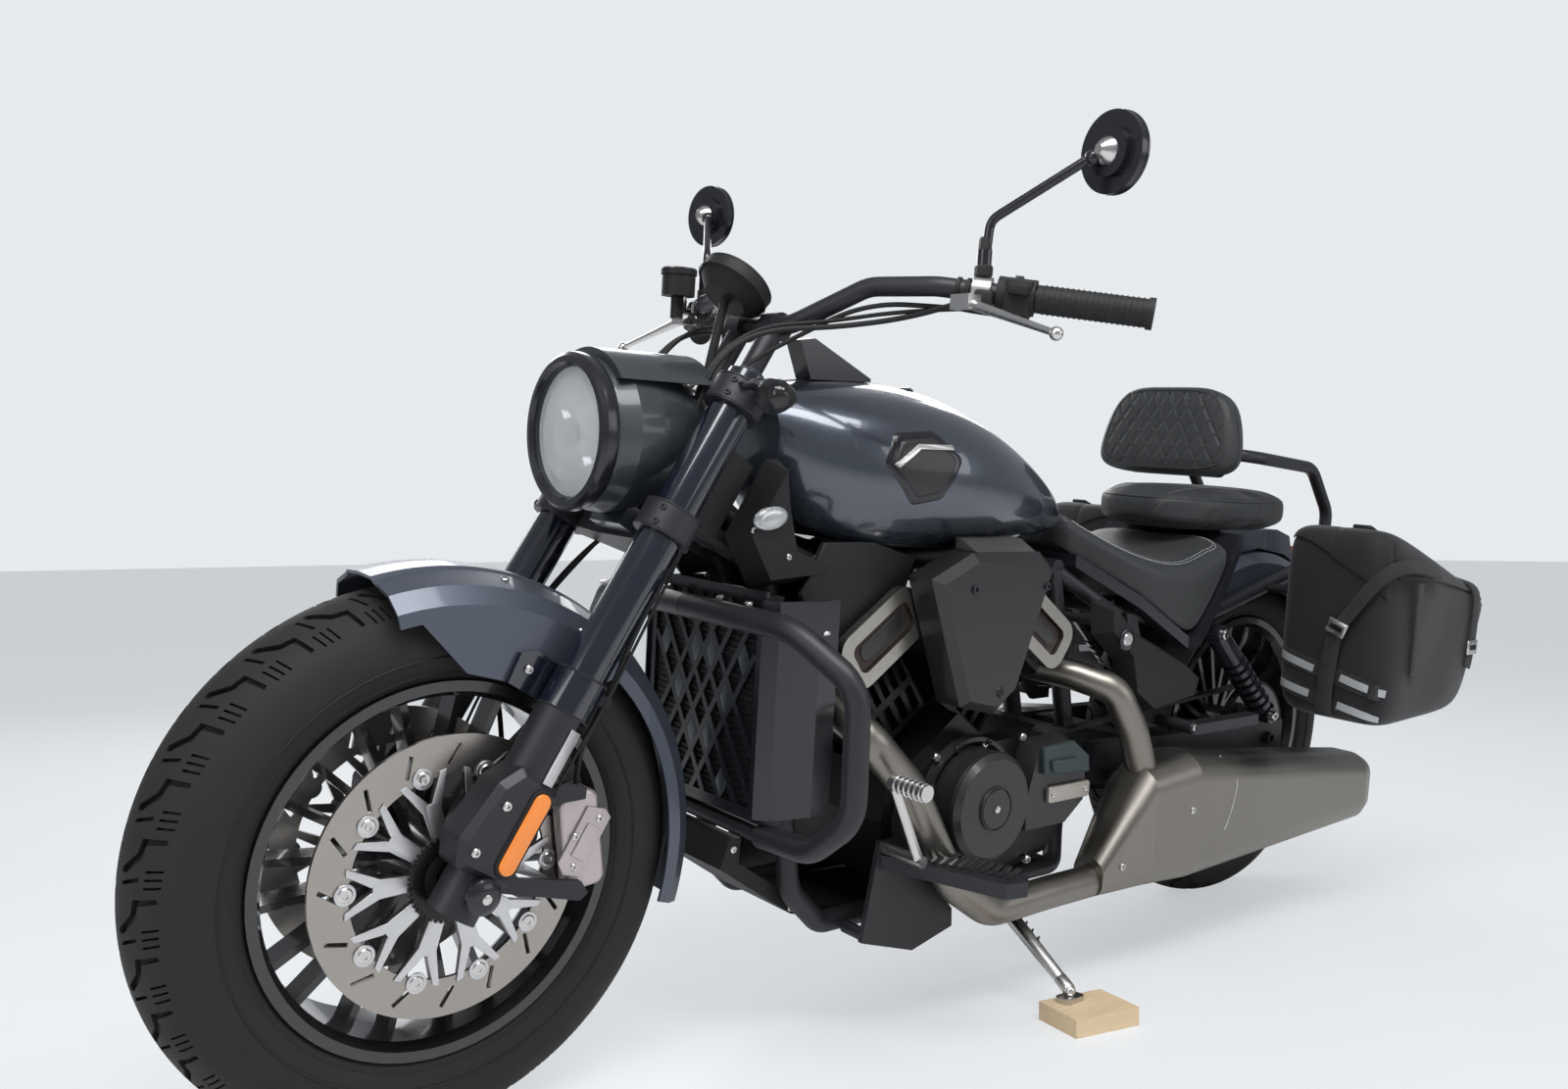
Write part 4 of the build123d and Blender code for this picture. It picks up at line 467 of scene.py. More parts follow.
class Bench:
    """Modelling moves with Blender's own operators; sizes are in mm on the upright machine."""

    @staticmethod
    def clear() -> None:
        """Deselects everything."""
        if bpy.context.object and bpy.context.object.mode != "OBJECT":
            bpy.ops.object.mode_set(mode="OBJECT")
        bpy.ops.object.select_all(action="DESELECT")

    @staticmethod
    def only(obj: Solid) -> None:
        """Selects one object and makes it active."""
        Bench.clear()
        obj.select_set(True)
        bpy.context.view_layer.objects.active = obj

    @staticmethod
    def settle(obj: Solid) -> Solid:
        """Puts an object's place, turn and size into its mesh."""
        Bench.only(obj)
        bpy.ops.object.transform_apply(location=True, rotation=True, scale=True)
        return obj

    @staticmethod
    def bevel(obj: Solid, width: float, segments: int = 2, angle: float = 35.0) -> Solid:
        """Rounds the sharp edges.

        Args:
            obj: the mesh.
            width: width of the bevel in mm.
            segments: facets across it.
            angle: edges sharper than this are rounded.

        Returns:
            The same object.
        """
        Bench.only(obj)
        step = obj.modifiers.new("bevel", "BEVEL")
        step.width = width * MM
        step.segments = segments
        step.limit_method = "ANGLE"
        step.angle_limit = math.radians(angle)
        bpy.ops.object.modifier_apply(modifier=step.name)
        return obj

    @staticmethod
    def smooth(obj: Solid, angle: float = 32.0) -> Solid:
        """Shades smooth below an angle."""
        Bench.only(obj)
        bpy.ops.object.shade_smooth_by_angle(angle=math.radians(angle))
        return obj

    @staticmethod
    def subdivide(obj: Solid, levels: int = 2) -> Solid:
        """Applies a subdivision surface."""
        Bench.only(obj)
        step = obj.modifiers.new("subdivision", "SUBSURF")
        step.levels = levels
        step.render_levels = levels
        bpy.ops.object.modifier_apply(modifier=step.name)
        return obj

    @staticmethod
    def join(parts: Sequence[Solid], name: str) -> Solid:
        """Joins pieces into one object."""
        Bench.clear()
        for part in parts:
            part.select_set(True)
        bpy.context.view_layer.objects.active = parts[0]
        if len(parts) > 1:
            bpy.ops.object.join()
        parts[0].name = name
        return parts[0]

    @staticmethod
    def copy(obj: Solid, change: Matrix) -> Solid:
        """Copies an object with its own mesh, moved by a matrix."""
        twin = obj.copy()
        twin.data = obj.data.copy()
        bpy.context.scene.collection.objects.link(twin)
        twin.data.transform(change)
        if change.determinant() < 0:
            twin.data.flip_normals()
        return twin

    @staticmethod
    def both(obj: Solid) -> Solid:
        """Adds the mirror image across the machine's middle."""
        twin = Bench.copy(obj, Matrix.Scale(-1, 4, Vector((0, 1, 0))))
        return Bench.join([obj, twin], obj.name)

    @staticmethod
    def turn_to(direction: Vector) -> tuple[float, float, float]:
        """Euler turn that lays +Z along a direction."""
        return tuple(direction.to_track_quat("Z", "Y").to_euler())

    @staticmethod
    def block(size: Point, middle: Point, turn: Point = (0, 0, 0), bevel: float = 0.0) -> Solid:
        """A bevelled block.

        Args:
            size: its three sizes.
            middle: its middle.
            turn: Euler turn in degrees.
            bevel: edge rounding, 0 for none.

        Returns:
            The block.
        """
        Bench.clear()
        bpy.ops.mesh.primitive_cube_add(size=1, location=Vector(middle) * MM,
                                        rotation=[math.radians(a) for a in turn],
                                        scale=Vector(size) * MM)
        obj = Bench.settle(bpy.context.object)
        if bevel:
            Bench.bevel(obj, bevel)
        return obj

    @staticmethod
    def rod(start: Point, end: Point, radius: float, top: float | None = None, sides: int = 24,
            bevel: float = 0.0) -> Solid:
        """A round bar or cone between two points.

        Args:
            start: middle of one end.
            end: middle of the other end.
            radius: radius at the start.
            top: radius at the end, if it differs.
            sides: facets round it.
            bevel: rounding of the end edges.

        Returns:
            The bar.
        """
        a, b = Vector(start) * MM, Vector(end) * MM
        Bench.clear()
        bpy.ops.mesh.primitive_cone_add(vertices=sides, radius1=radius * MM,
                                        radius2=(radius if top is None else top) * MM,
                                        depth=(b - a).length, location=(a + b) / 2,
                                        rotation=Bench.turn_to(b - a))
        obj = Bench.settle(bpy.context.object)
        if bevel:
            Bench.bevel(obj, bevel)
        return obj

    @staticmethod
    def hose(points: Sequence[Point], radius: float, order: int = 3, facets: int = 4,
             corner: bool = False) -> Solid:
        """A round hose or bar along points.

        Args:
            points: its route.
            radius: its radius.
            order: order of the smooth line.
            facets: fineness round and along it.
            corner: True for straight runs.

        Returns:
            The hose as a mesh.
        """
        data = bpy.data.curves.new("hose", "CURVE")
        data.dimensions = "3D"
        data.bevel_depth = radius * MM
        data.bevel_resolution = facets
        data.use_fill_caps = True
        data.resolution_u = 8
        line = data.splines.new("POLY" if corner else "NURBS")
        line.points.add(len(points) - 1)
        for spot, point in zip(line.points, points):
            spot.co = (*(Vector(point) * MM), 1)
        if not corner:
            line.order_u = order
            line.use_endpoint_u = True
        return Bench.as_mesh(data)

    @staticmethod
    def as_mesh(data: bpy.types.Curve) -> Solid:
        """Turns a curve into a mesh object."""
        obj = bpy.data.objects.new("piece", data)
        bpy.context.scene.collection.objects.link(obj)
        Bench.only(obj)
        bpy.ops.object.convert(target="MESH")
        return bpy.context.object

    @staticmethod
    def plate(outline: Sequence[tuple[float, float]], thick: float, place: Matrix, bevel: float = 0.0,
              holes: Sequence[Sequence[tuple[float, float]]] = ()) -> Solid:
        """A flat plate cut to an outline.

        Args:
            outline: corners in the plate's own plane.
            thick: its thickness, half to each side of the plane.
            place: where the plane lies, with its move in mm.
            bevel: rounding of its edges.
            holes: outlines that are cut out.

        Returns:
            The plate.
        """
        data = bpy.data.curves.new("plate", "CURVE")
        data.dimensions = "2D"
        data.fill_mode = "BOTH"
        data.extrude = max(thick / 2 - bevel, 0.01) * MM
        data.bevel_depth = bevel * MM
        data.bevel_resolution = 2
        data.offset = -bevel * MM
        for loop in (outline, *holes):
            line = data.splines.new("POLY")
            line.points.add(len(loop) - 1)
            for spot, point in zip(line.points, loop):
                spot.co = (point[0] * MM, point[1] * MM, 0, 1)
            line.use_cyclic_u = True
        obj = Bench.as_mesh(data)
        metres = place.copy()
        metres.translation *= MM
        obj.data.transform(metres)
        Bench.only(obj)
        step = obj.modifiers.new("weld", "WELD")
        step.merge_threshold = 0.00002
        bpy.ops.object.modifier_apply(modifier=step.name)
        return obj

    @staticmethod
    def at(origin: Point, along: Point, up: Point) -> Matrix:
        """Plane through an origin with its x and y directions."""
        x = Vector(along).normalized()
        z = x.cross(Vector(up)).normalized()
        y = z.cross(x)
        return Matrix.Translation(Vector(origin)) @ Matrix((x, y, z)).transposed().to_4x4()

    @staticmethod
    def side(y: float, which: Side = Side.LEFT) -> Matrix:
        """Plane along a flank: x is ahead, y is up."""
        return Bench.at((0, y * which.value, 0), (1, 0, 0), (0, 0, 1))

    @staticmethod
    def lathe(profile: Sequence[tuple[float, float]], origin: Point, axis: Point, steps: int = 48) -> Solid:
        """Turns a profile round an axis.

        Args:
            profile: (along the axis, radius) pairs.
            origin: a point of the axis.
            axis: its direction.
            steps: facets round it.

        Returns:
            The turned piece.
        """
        mesh = bpy.data.meshes.new("turned")
        points = [(radius * MM, 0, along * MM) for along, radius in profile]
        mesh.from_pydata(points, [(i, i + 1) for i in range(len(points) - 1)], [])
        obj = bpy.data.objects.new("turned", mesh)
        bpy.context.scene.collection.objects.link(obj)
        Bench.only(obj)
        step = obj.modifiers.new("turn", "SCREW")
        step.axis = "Z"
        step.steps = steps
        step.render_steps = steps
        step.use_merge_vertices = True
        step.merge_threshold = 0.00001
        bpy.ops.object.modifier_apply(modifier=step.name)
        obj.rotation_euler = Bench.turn_to(Vector(axis))
        obj.location = Vector(origin) * MM
        Bench.settle(obj)
        Bench.outward(obj)
        return obj

    @staticmethod
    def outward(obj: Solid) -> Solid:
        """Merges doubles and turns all faces outwards."""
        Bench.only(obj)
        bpy.ops.object.mode_set(mode="EDIT")
        bpy.ops.mesh.select_all(action="SELECT")
        bpy.ops.mesh.remove_doubles(threshold=0.00001)
        bpy.ops.mesh.normals_make_consistent(inside=False)
        bpy.ops.object.mode_set(mode="OBJECT")
        return obj

    @staticmethod
    def loft(loops: Sequence[Sequence[Point]], closed_ends: bool = True) -> Solid:
        """Skins closed loops of equal length, one after the other.

        Args:
            loops: the loops' points.
            closed_ends: True to fill the first and last loop.

        Returns:
            The skinned form.
        """
        mesh = bpy.data.meshes.new("loft")
        points, edges = [], []
        for loop in loops:
            first = len(points)
            points += [Vector(p) * MM for p in loop]
            edges += [(first + i, first + (i + 1) % len(loop)) for i in range(len(loop))]
        mesh.from_pydata(points, edges, [])
        obj = bpy.data.objects.new("loft", mesh)
        bpy.context.scene.collection.objects.link(obj)
        Bench.only(obj)
        count = len(loops[0])
        for i in range(len(loops) - 1):
            chosen = set(range(i * count, (i + 2) * count))
            bpy.ops.object.mode_set(mode="EDIT")
            bpy.ops.mesh.select_all(action="DESELECT")
            bpy.ops.object.mode_set(mode="OBJECT")
            for edge in obj.data.edges:
                a, b = edge.vertices
                if a in chosen and b in chosen and a // count == b // count:
                    edge.select = True
            bpy.ops.object.mode_set(mode="EDIT")
            bpy.ops.mesh.bridge_edge_loops()
            bpy.ops.object.mode_set(mode="OBJECT")
        if closed_ends:
            for first in (0, (len(loops) - 1) * count):
                for edge in obj.data.edges:
                    edge.select = all(first <= v < first + count for v in edge.vertices)
                bpy.ops.object.mode_set(mode="EDIT")
                bpy.ops.mesh.select_mode(type="EDGE")
                bpy.ops.mesh.edge_face_add()
                bpy.ops.mesh.select_mode(type="VERT")
                bpy.ops.object.mode_set(mode="OBJECT")
        return Bench.outward(obj)

    @staticmethod
    def cut(obj: Solid, cutter: Solid, exact: bool = True) -> Solid:
        """Cuts one solid out of another and deletes the cutter."""
        Bench.only(obj)
        step = obj.modifiers.new("cut", "BOOLEAN")
        step.operation = "DIFFERENCE"
        step.object = cutter
        step.solver = "EXACT" if exact else "FAST"
        bpy.ops.object.modifier_apply(modifier=step.name)
        bpy.data.objects.remove(cutter)
        return obj

    @staticmethod
    def spread(line: Sequence[Vector], step: float) -> list[Vector]:
        """Spaces points evenly along a smooth line.

        Args:
            line: the points that the line goes through.
            step: distance between the new points.

        Returns:
            The new points.
        """
        fine = []
        count = len(line)
        for i in range(count - 1):
            a, b = line[i], line[i + 1]
            before = line[i - 1] if i else a * 2 - b
            after = line[i + 2] if i + 2 < count else b * 2 - a
            for k in range(12):
                t = k / 12
                fine.append(0.5 * ((2 * a) + (b - before) * t + (2 * before - 5 * a + 4 * b - after) * t * t
                                   + (3 * a - before - 3 * b + after) * t ** 3))
        fine.append(line[-1])
        out = [fine[0]]
        left = step
        for a, b in zip(fine, fine[1:]):
            gap = (b - a).length
            at = 0.0
            while gap - at >= left and gap > 0:
                at += left
                out.append(a + (b - a) * (at / gap))
                left = step
            left -= gap - at
        return out

    @staticmethod
    def bolts(places: Sequence[Point], outward: Point, radius: float = 5.0, tall: float = 3.5) -> Solid:
        """Socket-head bolts with a hexagon recess.

        Args:
            places: middles of the seats.
            outward: the way the heads point.
            radius: head radius.
            tall: head height.

        Returns:
            All the bolts as one object.
        """
        way = Vector(outward).normalized()
        heads = []
        for place in places:
            head = Bench.lathe([(0, 0.01), (0, radius), (tall * 0.75, radius), (tall, radius * 0.8),
                                (tall, radius * 0.5), (tall * 0.4, radius * 0.5), (tall * 0.4, 0.01)],
                               Vector(place), way, 12)
            heads.append(head)
        return Bench.join(heads, "bolts")


@dataclass
class Shop:
    """Hands finished pieces over to the frame.

    Args:
        park: the move from the upright to the parked machine.
        nodes: the CAD nodes.
    """

    park: Matrix
    nodes: dict[str, Solid]
    count: int = 0

    def piece(self, obj: Solid, name: str, finish: Finish, body: Body = Body.ROOT,
              stands_for: Sequence[str] = (), smooth: float = 32.0) -> Solid:
        """Parks, finishes and seats one piece.

        Args:
            obj: the mesh on the upright machine.
            name: the piece's name.
            finish: its finish.
            body: the body it rides on.
            stands_for: CAD nodes that it replaces.
            smooth: shading angle.

        Returns:
            The piece.
        """
        obj.name = name
        obj.data.name = name
        obj.data.transform(self.park)
        obj.data.materials.clear()
        obj.data.materials.append(finish.material())
        Bench.smooth(obj, smooth)
        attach(obj, body.value)
        if stands_for:
            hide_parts(*stands_for)
        self.count += 1
        LOG.info("%s on %s: %d faces", name, body.value, len(obj.data.polygons))
        return obj

    def probe(self, name: str, start: Vector, way: Vector) -> Vector | None:
        """Finds where a ray on the upright machine meets a finished piece or node.

        Args:
            name: the object.
            start: start of the ray, in mm.
            way: its direction.

        Returns:
            The point in mm on the upright machine, or None.
        """
        obj = bpy.data.objects.get(name)
        origin = self.park @ (start * MM)
        turned = self.park.to_3x3() @ way
        hit, spot, _, _ = obj.ray_cast(origin, turned)
        return (self.park.inverted() @ spot) / MM if hit else None

    def skin(self, name: str, x: float, z: float) -> Vector | None:
        """Point of a piece's left flank at an x and z."""
        return self.probe(name, Vector((x, 700, z)), Vector((0, -1, 0)))

    def drop(self, name: str, x: float, y: float) -> float | None:
        """Height of a piece's top at an x and y."""
        spot = self.probe(name, Vector((x, y, 1500)), Vector((0, 0, -1)))
        return spot.z if spot else None

    def conform(self, obj: Solid, name: str, lift: float) -> Solid:
        """Lays a flat piece on a flank, its own depth kept."""
        for vert in obj.data.vertices:
            spot = self.skin(name, vert.co.x / MM, vert.co.z / MM)
            if spot:
                vert.co.y += (spot.y + lift - 2) * MM
        return obj

    def onto(self, carrier: Solid, point: Vector, lift: float = 0.0) -> Vector:
        """Pulls a point to the nearest spot of a parked piece, then lifts it."""
        found, spot, normal, _ = carrier.closest_point_on_mesh(self.park @ (point * MM))
        if not found:
            return point
        back = self.park.inverted()
        return (back @ spot) / MM + (back.to_3x3() @ normal).normalized() * lift

    def dress_nodes(self) -> None:
        """Gives every CAD node its finish."""
        for name, node in self.nodes.items():
            node.data.materials.clear()
            node.data.materials.append(CARRIED[name].material())


# Sub-assemblies


@dataclass
class Wheel:
    """A tyre with its road tread.

    Args:
        shop: takes the finished pieces.
        node: CAD node that the tyre stands for.
        body: the wheel's body.
        x: place of the axle.
        radius: outer radius of the tyre.
        crown: radius of the tread's arc.
        pitches: tread blocks round the tyre.
        depth: depth of the grooves.
    """

    shop: Shop
    node: str
    body: Body
    x: float
    radius: float = 320.0
    crown: float = 85.0
    axle_z: float = 320.0
    pitches: int = 32
    depth: float = 6.0

    def profile(self) -> list[tuple[float, float]]:
        """Gives the tyre's section as (y, radius), bead to bead."""
        half = []
        for y in (0, 10, 20, 30, 40, 48, 55, 61):
            half.append((y, self.radius - self.crown + math.sqrt(self.crown ** 2 - y * y)))
        half += [(67, 285.5), (71.5, 275), (74, 263), (74.5, 251), (72, 238), (67, 227), (61.5, 219),
                 (58.7, 217.5), (57, 214), (56.7, 206.5)]
        return [(-y, r) for y, r in reversed(half[1:])] + half

    def wrap(self, obj: Solid, turn: float) -> Solid:
        """Lays a flat pattern round the crown.

        Args:
            obj: flat pattern: x along the tread, y across it, z its height.
            turn: angle of its origin round the axle.

        Returns:
            The same object on the tyre.
        """
        for vert in obj.data.vertices:
            along, across, high = (c / MM for c in vert.co)
            bank = across / self.crown
            reach = self.crown + high
            y = reach * math.sin(bank)
            r = self.radius - self.crown + reach * math.cos(bank)
            angle = turn + along / self.radius
            vert.co = Vector((self.x + r * math.cos(angle), y, self.axle_z + r * math.sin(angle))) * MM
        return obj

    def grooves(self) -> Solid:
        """Makes all groove cutters, one pitch of each flank copied round the tyre."""
        pitch = 2 * math.pi * self.radius / self.pitches
        step = ((-0.40, 8), (-0.32, 8), (-0.02, 30), (0.24, 33), (0.34, 62), (0.26, 64), (0.15, 40),
                (-0.08, 38), (-0.40, 16))
        slot = ((0.40, 12), (0.47, 12), (0.62, 38), (0.55, 38))
        notches = [[(a, 46), (a + 0.045, 46), (a + 0.12, 66), (a + 0.075, 66)] for a in (0.44, 0.58, 0.72)]
        cutters = []
        for outline in (step, slot, *notches):
            for flank in (1, -1):
                loop = [(a * pitch + (0.5 * pitch if flank < 0 else 0), b * flank) for a, b in outline]
                cutters.append(self._groove(loop))
        pattern = Bench.join(cutters, "pattern")
        rings = []
        for i in range(self.pitches):
            turn = 2 * math.pi * i / self.pitches
            rings.append(self.wrap(Bench.copy(pattern, Matrix.Identity(4)), turn))
        bpy.data.objects.remove(pattern)
        return Bench.outward(Bench.join(rings, "grooves"))

    def _groove(self, loop: Sequence[tuple[float, float]]) -> Solid:
        """Makes one flat groove cutter from its outline."""
        obj = Bench.plate(loop, self.depth + 5, Matrix.Translation((0, 0, (5 - self.depth) / 2)))
        return obj

    def build(self) -> None:
        """Builds the tyre and stands it in for the plain solid."""
        body = Bench.lathe(self.profile() + [self.profile()[0]], (self.x, 0, self.axle_z), (0, 1, 0), 156)
        tyre = Bench.cut(body, self.grooves())
        self.shop.piece(tyre, self.node + "_tread", Finishes.tyre, self.body, (self.node,), 38)
        rings = []
        for side in (-1, 1):
            for y, r in ((73.6, 245), (66, 226), (63.5, 286)):
                ring = Bench.lathe([(-0.8, r), (0, r + 1.2), (0.8, r), (0, r - 1.2), (-0.8, r)],
                                   (self.x, side * (y + 0.6), self.axle_z), (0, 1, 0), 96)
                rings.append(ring)
        self.shop.piece(Bench.join(rings, "rings"), self.node + "_moulded_rings", Finishes.tyre, self.body)


@dataclass
class Rotor:
    """Silver carrier, rivets and sensor ring laid on a brake rotor.

    Args:
        shop: takes the finished pieces.
        name: start of the pieces' names.
        body: the wheel's body.
        x: place of the axle.
        radius: rotor radius.
        sides: flanks that carry a rotor.
    """

    shop: Shop
    name: str
    body: Body
    x: float
    radius: float
    sides: tuple[Side, ...]
    y: float = 83.1
    z: float = 320.0
    arms: int = 10
    teeth: int = 48

    def turned(self, outline: Sequence[tuple[float, float]], angle: float) -> list[tuple[float, float]]:
        """Turns an outline round the axle."""
        c, s = math.cos(angle), math.sin(angle)
        return [(self.x + a * c - b * s, self.z + a * s + b * c) for a, b in outline]

    def build(self) -> None:
        """Builds the left face's trim and mirrors it where needed."""
        inner = self.radius - 44
        arm = [(46, 2), (inner - 24, 3), (inner + 4, 20), (inner + 4, 28), (inner - 34, 11), (46, 9)]
        plane = Bench.side(self.y + 0.8)
        arms, rivets = [], []
        for i in range(self.arms):
            angle = 2 * math.pi * i / self.arms
            for flip in (1, -1):
                loop = self.turned([(a, b * flip) for a, b in arm], angle)
                arms.append(Bench.plate(loop, 1.6, plane, 0.5))
            trunk = self.turned([(47, -8), (47, 8), (inner - 26, 6), (inner - 26, -6)], angle)
            arms.append(Bench.plate(trunk, 1.8, plane, 0.5))
            spot = self.turned([(inner + 4, 0)], angle)[0]
            eye = [(spot[0] + 12 * math.cos(math.pi * k / 10), spot[1] + 12 * math.sin(math.pi * k / 10)) for k in range(20)]
            arms.append(Bench.plate(eye, 2.4, plane, 0.6))
            rivets.append(Bench.lathe([(0, 3.2), (2.6, 3.2), (3.2, 4.6), (3.2, 7), (2, 8.4), (0, 8.6), (0, 3.2)],
                                      (spot[0], self.y, spot[1]), (0, 1, 0), 20))
        ring = []
        for i in range(self.teeth * 2):
            angle = math.pi * (i + 0.5) / self.teeth
            r = 52 if i % 2 else 48
            ring += self.turned([(r, 0)], angle - 0.012) + self.turned([(r, 0)], angle + 0.03)
        hole = [(self.x + 33 * math.cos(math.pi * i / 24), self.z + 33 * math.sin(math.pi * i / 24)) for i in range(48)]
        sensor = Bench.plate(ring, 3.2, Bench.side(self.y + 3.4), 0.4, [hole])
        for obj, label, finish in ((Bench.join(arms, "arms"), "carrier", Finishes.carrier),
                                   (Bench.join(rivets, "rivets"), "rivets", Finishes.bright),
                                   (sensor, "sensor_ring", Finishes.engine)):
            if len(self.sides) == 2:
                obj = Bench.both(obj)
            elif self.sides[0] is Side.RIGHT:
                obj.data.transform(Matrix.Scale(-1, 4, Vector((0, 1, 0))))
                obj.data.flip_normals()
            self.shop.piece(obj, self.name + "_" + label, finish, self.body)


@dataclass
class ForkDress:
    """Bolts, reflectors, axle caps, hoses and clip of the fork legs."""

    shop: Shop
    fork: Fork = field(default_factory=Fork)
    face: float = 155.0

    def slab(self, outline: Sequence[tuple[float, float]], y: float, thick: float, bevel: float) -> Solid:
        """Plate in the leg's side plane from (up the leg, ahead of it) corners."""
        loop = [(p.x, p.z) for p in (self.fork.point(up, 0, ahead) for up, ahead in outline)]
        return Bench.plate(loop, thick, Bench.side(y), bevel)

    @staticmethod
    def stadium(low: float, high: float, middle: float, half: float) -> list[tuple[float, float]]:
        """Long rounded outline as (up, ahead) corners."""
        loop = []
        for i in range(13):
            a = math.pi * i / 12
            loop.append((high - half + half * math.sin(a), middle + half * math.cos(a)))
        for i in range(13):
            a = math.pi * i / 12
            loop.append((low + half - half * math.sin(a), middle - half * math.cos(a)))
        return loop

    def build(self) -> None:
        """Builds the left leg's dress and mirrors it."""
        at = self.fork.point
        shop = self.shop
        seat = self.slab(self.stadium(24, 128, -10, 14), self.face + 1, 3, 0.8)
        shop.piece(Bench.both(seat), "reflector_seats", Finishes.plastic, Body.FRONT_END)
        lens = self.slab(self.stadium(28, 124, -10, 10.5), self.face + 3.6, 4, 1.6)
        shop.piece(Bench.both(lens), "leg_reflectors", Finishes.orange, Body.FRONT_END)
        bolts = Bench.bolts([at(94, self.face - 0.5, 26), at(37, self.face - 0.5, 32)], (0, 1, 0), 5.5, 4)
        wing = Bench.bolts([at(236, 95.5, 52)], (0, 1, 0), 5.5, 4)
        shop.piece(Bench.both(Bench.join([bolts, wing], "bolts")), "leg_bolts", Finishes.bright, Body.FRONT_END)
        strip = Bench.block((1.6, 17, 66), (0, 0, 0), bevel=0.4)
        out = (self.fork.way_ahead * -0.30 + Vector((0, 0.954, 0))).normalized()
        up = self.fork.way_up
        turn = Matrix((out, up.cross(out), up)).transposed().to_4x4()
        spot = at(166, 120, 0) + out * 31.6
        strip.data.transform(Matrix.Translation(spot * MM) @ turn)
        shop.piece(Bench.both(strip), "leg_strips", Finishes.carrier, Body.FRONT_END)
        face = [self.slab([(60, -138), (138, -138), (144, -126), (136, -102), (64, -102), (54, -116)], 105.6, 3.6, 1.2),
                self.slab([(78, -132), (120, -132), (120, -112), (78, -112)], 108, 3, 1)]
        shop.piece(Bench.both(Bench.join(face, "face")), "caliper_faces", Finishes.caliper, Body.FRONT_END)
        pins = Bench.bolts([at(68, 106, -124), at(130, 106, -124), at(99, 106, -106)], (0, 1, 0), 4.6, 3.4)
        shop.piece(Bench.both(pins), "caliper_bolts", Finishes.bright, Body.FRONT_END)
        cap = Bench.lathe([(0, 20), (5, 20), (9, 15), (11, 9), (11, 0.01)], (800, 158.5, 320), (0, 1, 0), 32)
        shop.piece(Bench.both(cap), "axle_caps", Finishes.gloss, Body.FRONT_END)
        dot = Bench.lathe([(0, 5.5), (1.4, 5.5), (2.2, 4), (2.2, 0.01)], (800, 169.6, 320), (0, 1, 0), 20)
        shop.piece(Bench.both(dot), "axle_dots", Finishes.bright, Body.FRONT_END)
        hose = Bench.hose([at(148, 92, -84), at(178, 96, -64), at(214, 116, -46), at(262, 128, -38), at(340, 118, -34),
                           at(430, 100, -46), at(470, 84, -58)], 3.4)
        shop.piece(Bench.both(hose), "brake_hoses", Finishes.rubber, Body.FRONT_END)
        wire = Bench.hose([at(60, 112, -52), at(110, 122, -42), at(170, 130, -36), at(240, 136, -36), at(330, 124, -40),
                           at(420, 104, -50), at(466, 88, -56)], 1.9)
        shop.piece(Bench.both(wire), "sensor_wires", Finishes.rubber, Body.FRONT_END)
        clip = self.slab([(238, -26), (252, -26), (252, -44), (238, -44)], 128, 12, 1.5)
        shop.piece(Bench.both(clip), "hose_clips", Finishes.plastic, Body.FRONT_END)
        ribs = []
        for up_at in (212, 258):
            ribs.append(Bench.lathe([(-1.6, 30.6), (0, 32.4), (1.6, 30.6), (-1.6, 30.6)], at(up_at, 120), self.fork.way_up, 40))
        for up_at in (446, 478, 625, 657):
            ribs.append(Bench.lathe([(-1.2, 35.6), (0, 37), (1.2, 35.6), (-1.2, 35.6)], at(up_at, 120), self.fork.way_up, 40))
        shop.piece(Bench.both(Bench.join(ribs, "ribs")), "clamp_lips", Finishes.frame, Body.FRONT_END)
        pinch = Bench.bolts([at(up_at, 120 + 20, 36 - 8) for up_at in (452, 471, 632, 650)],
                            self.fork.way_ahead + Vector((0, 0.6, 0)), 4, 4)
        shop.piece(Bench.both(pinch), "pinch_bolts", Finishes.frame, Body.FRONT_END)


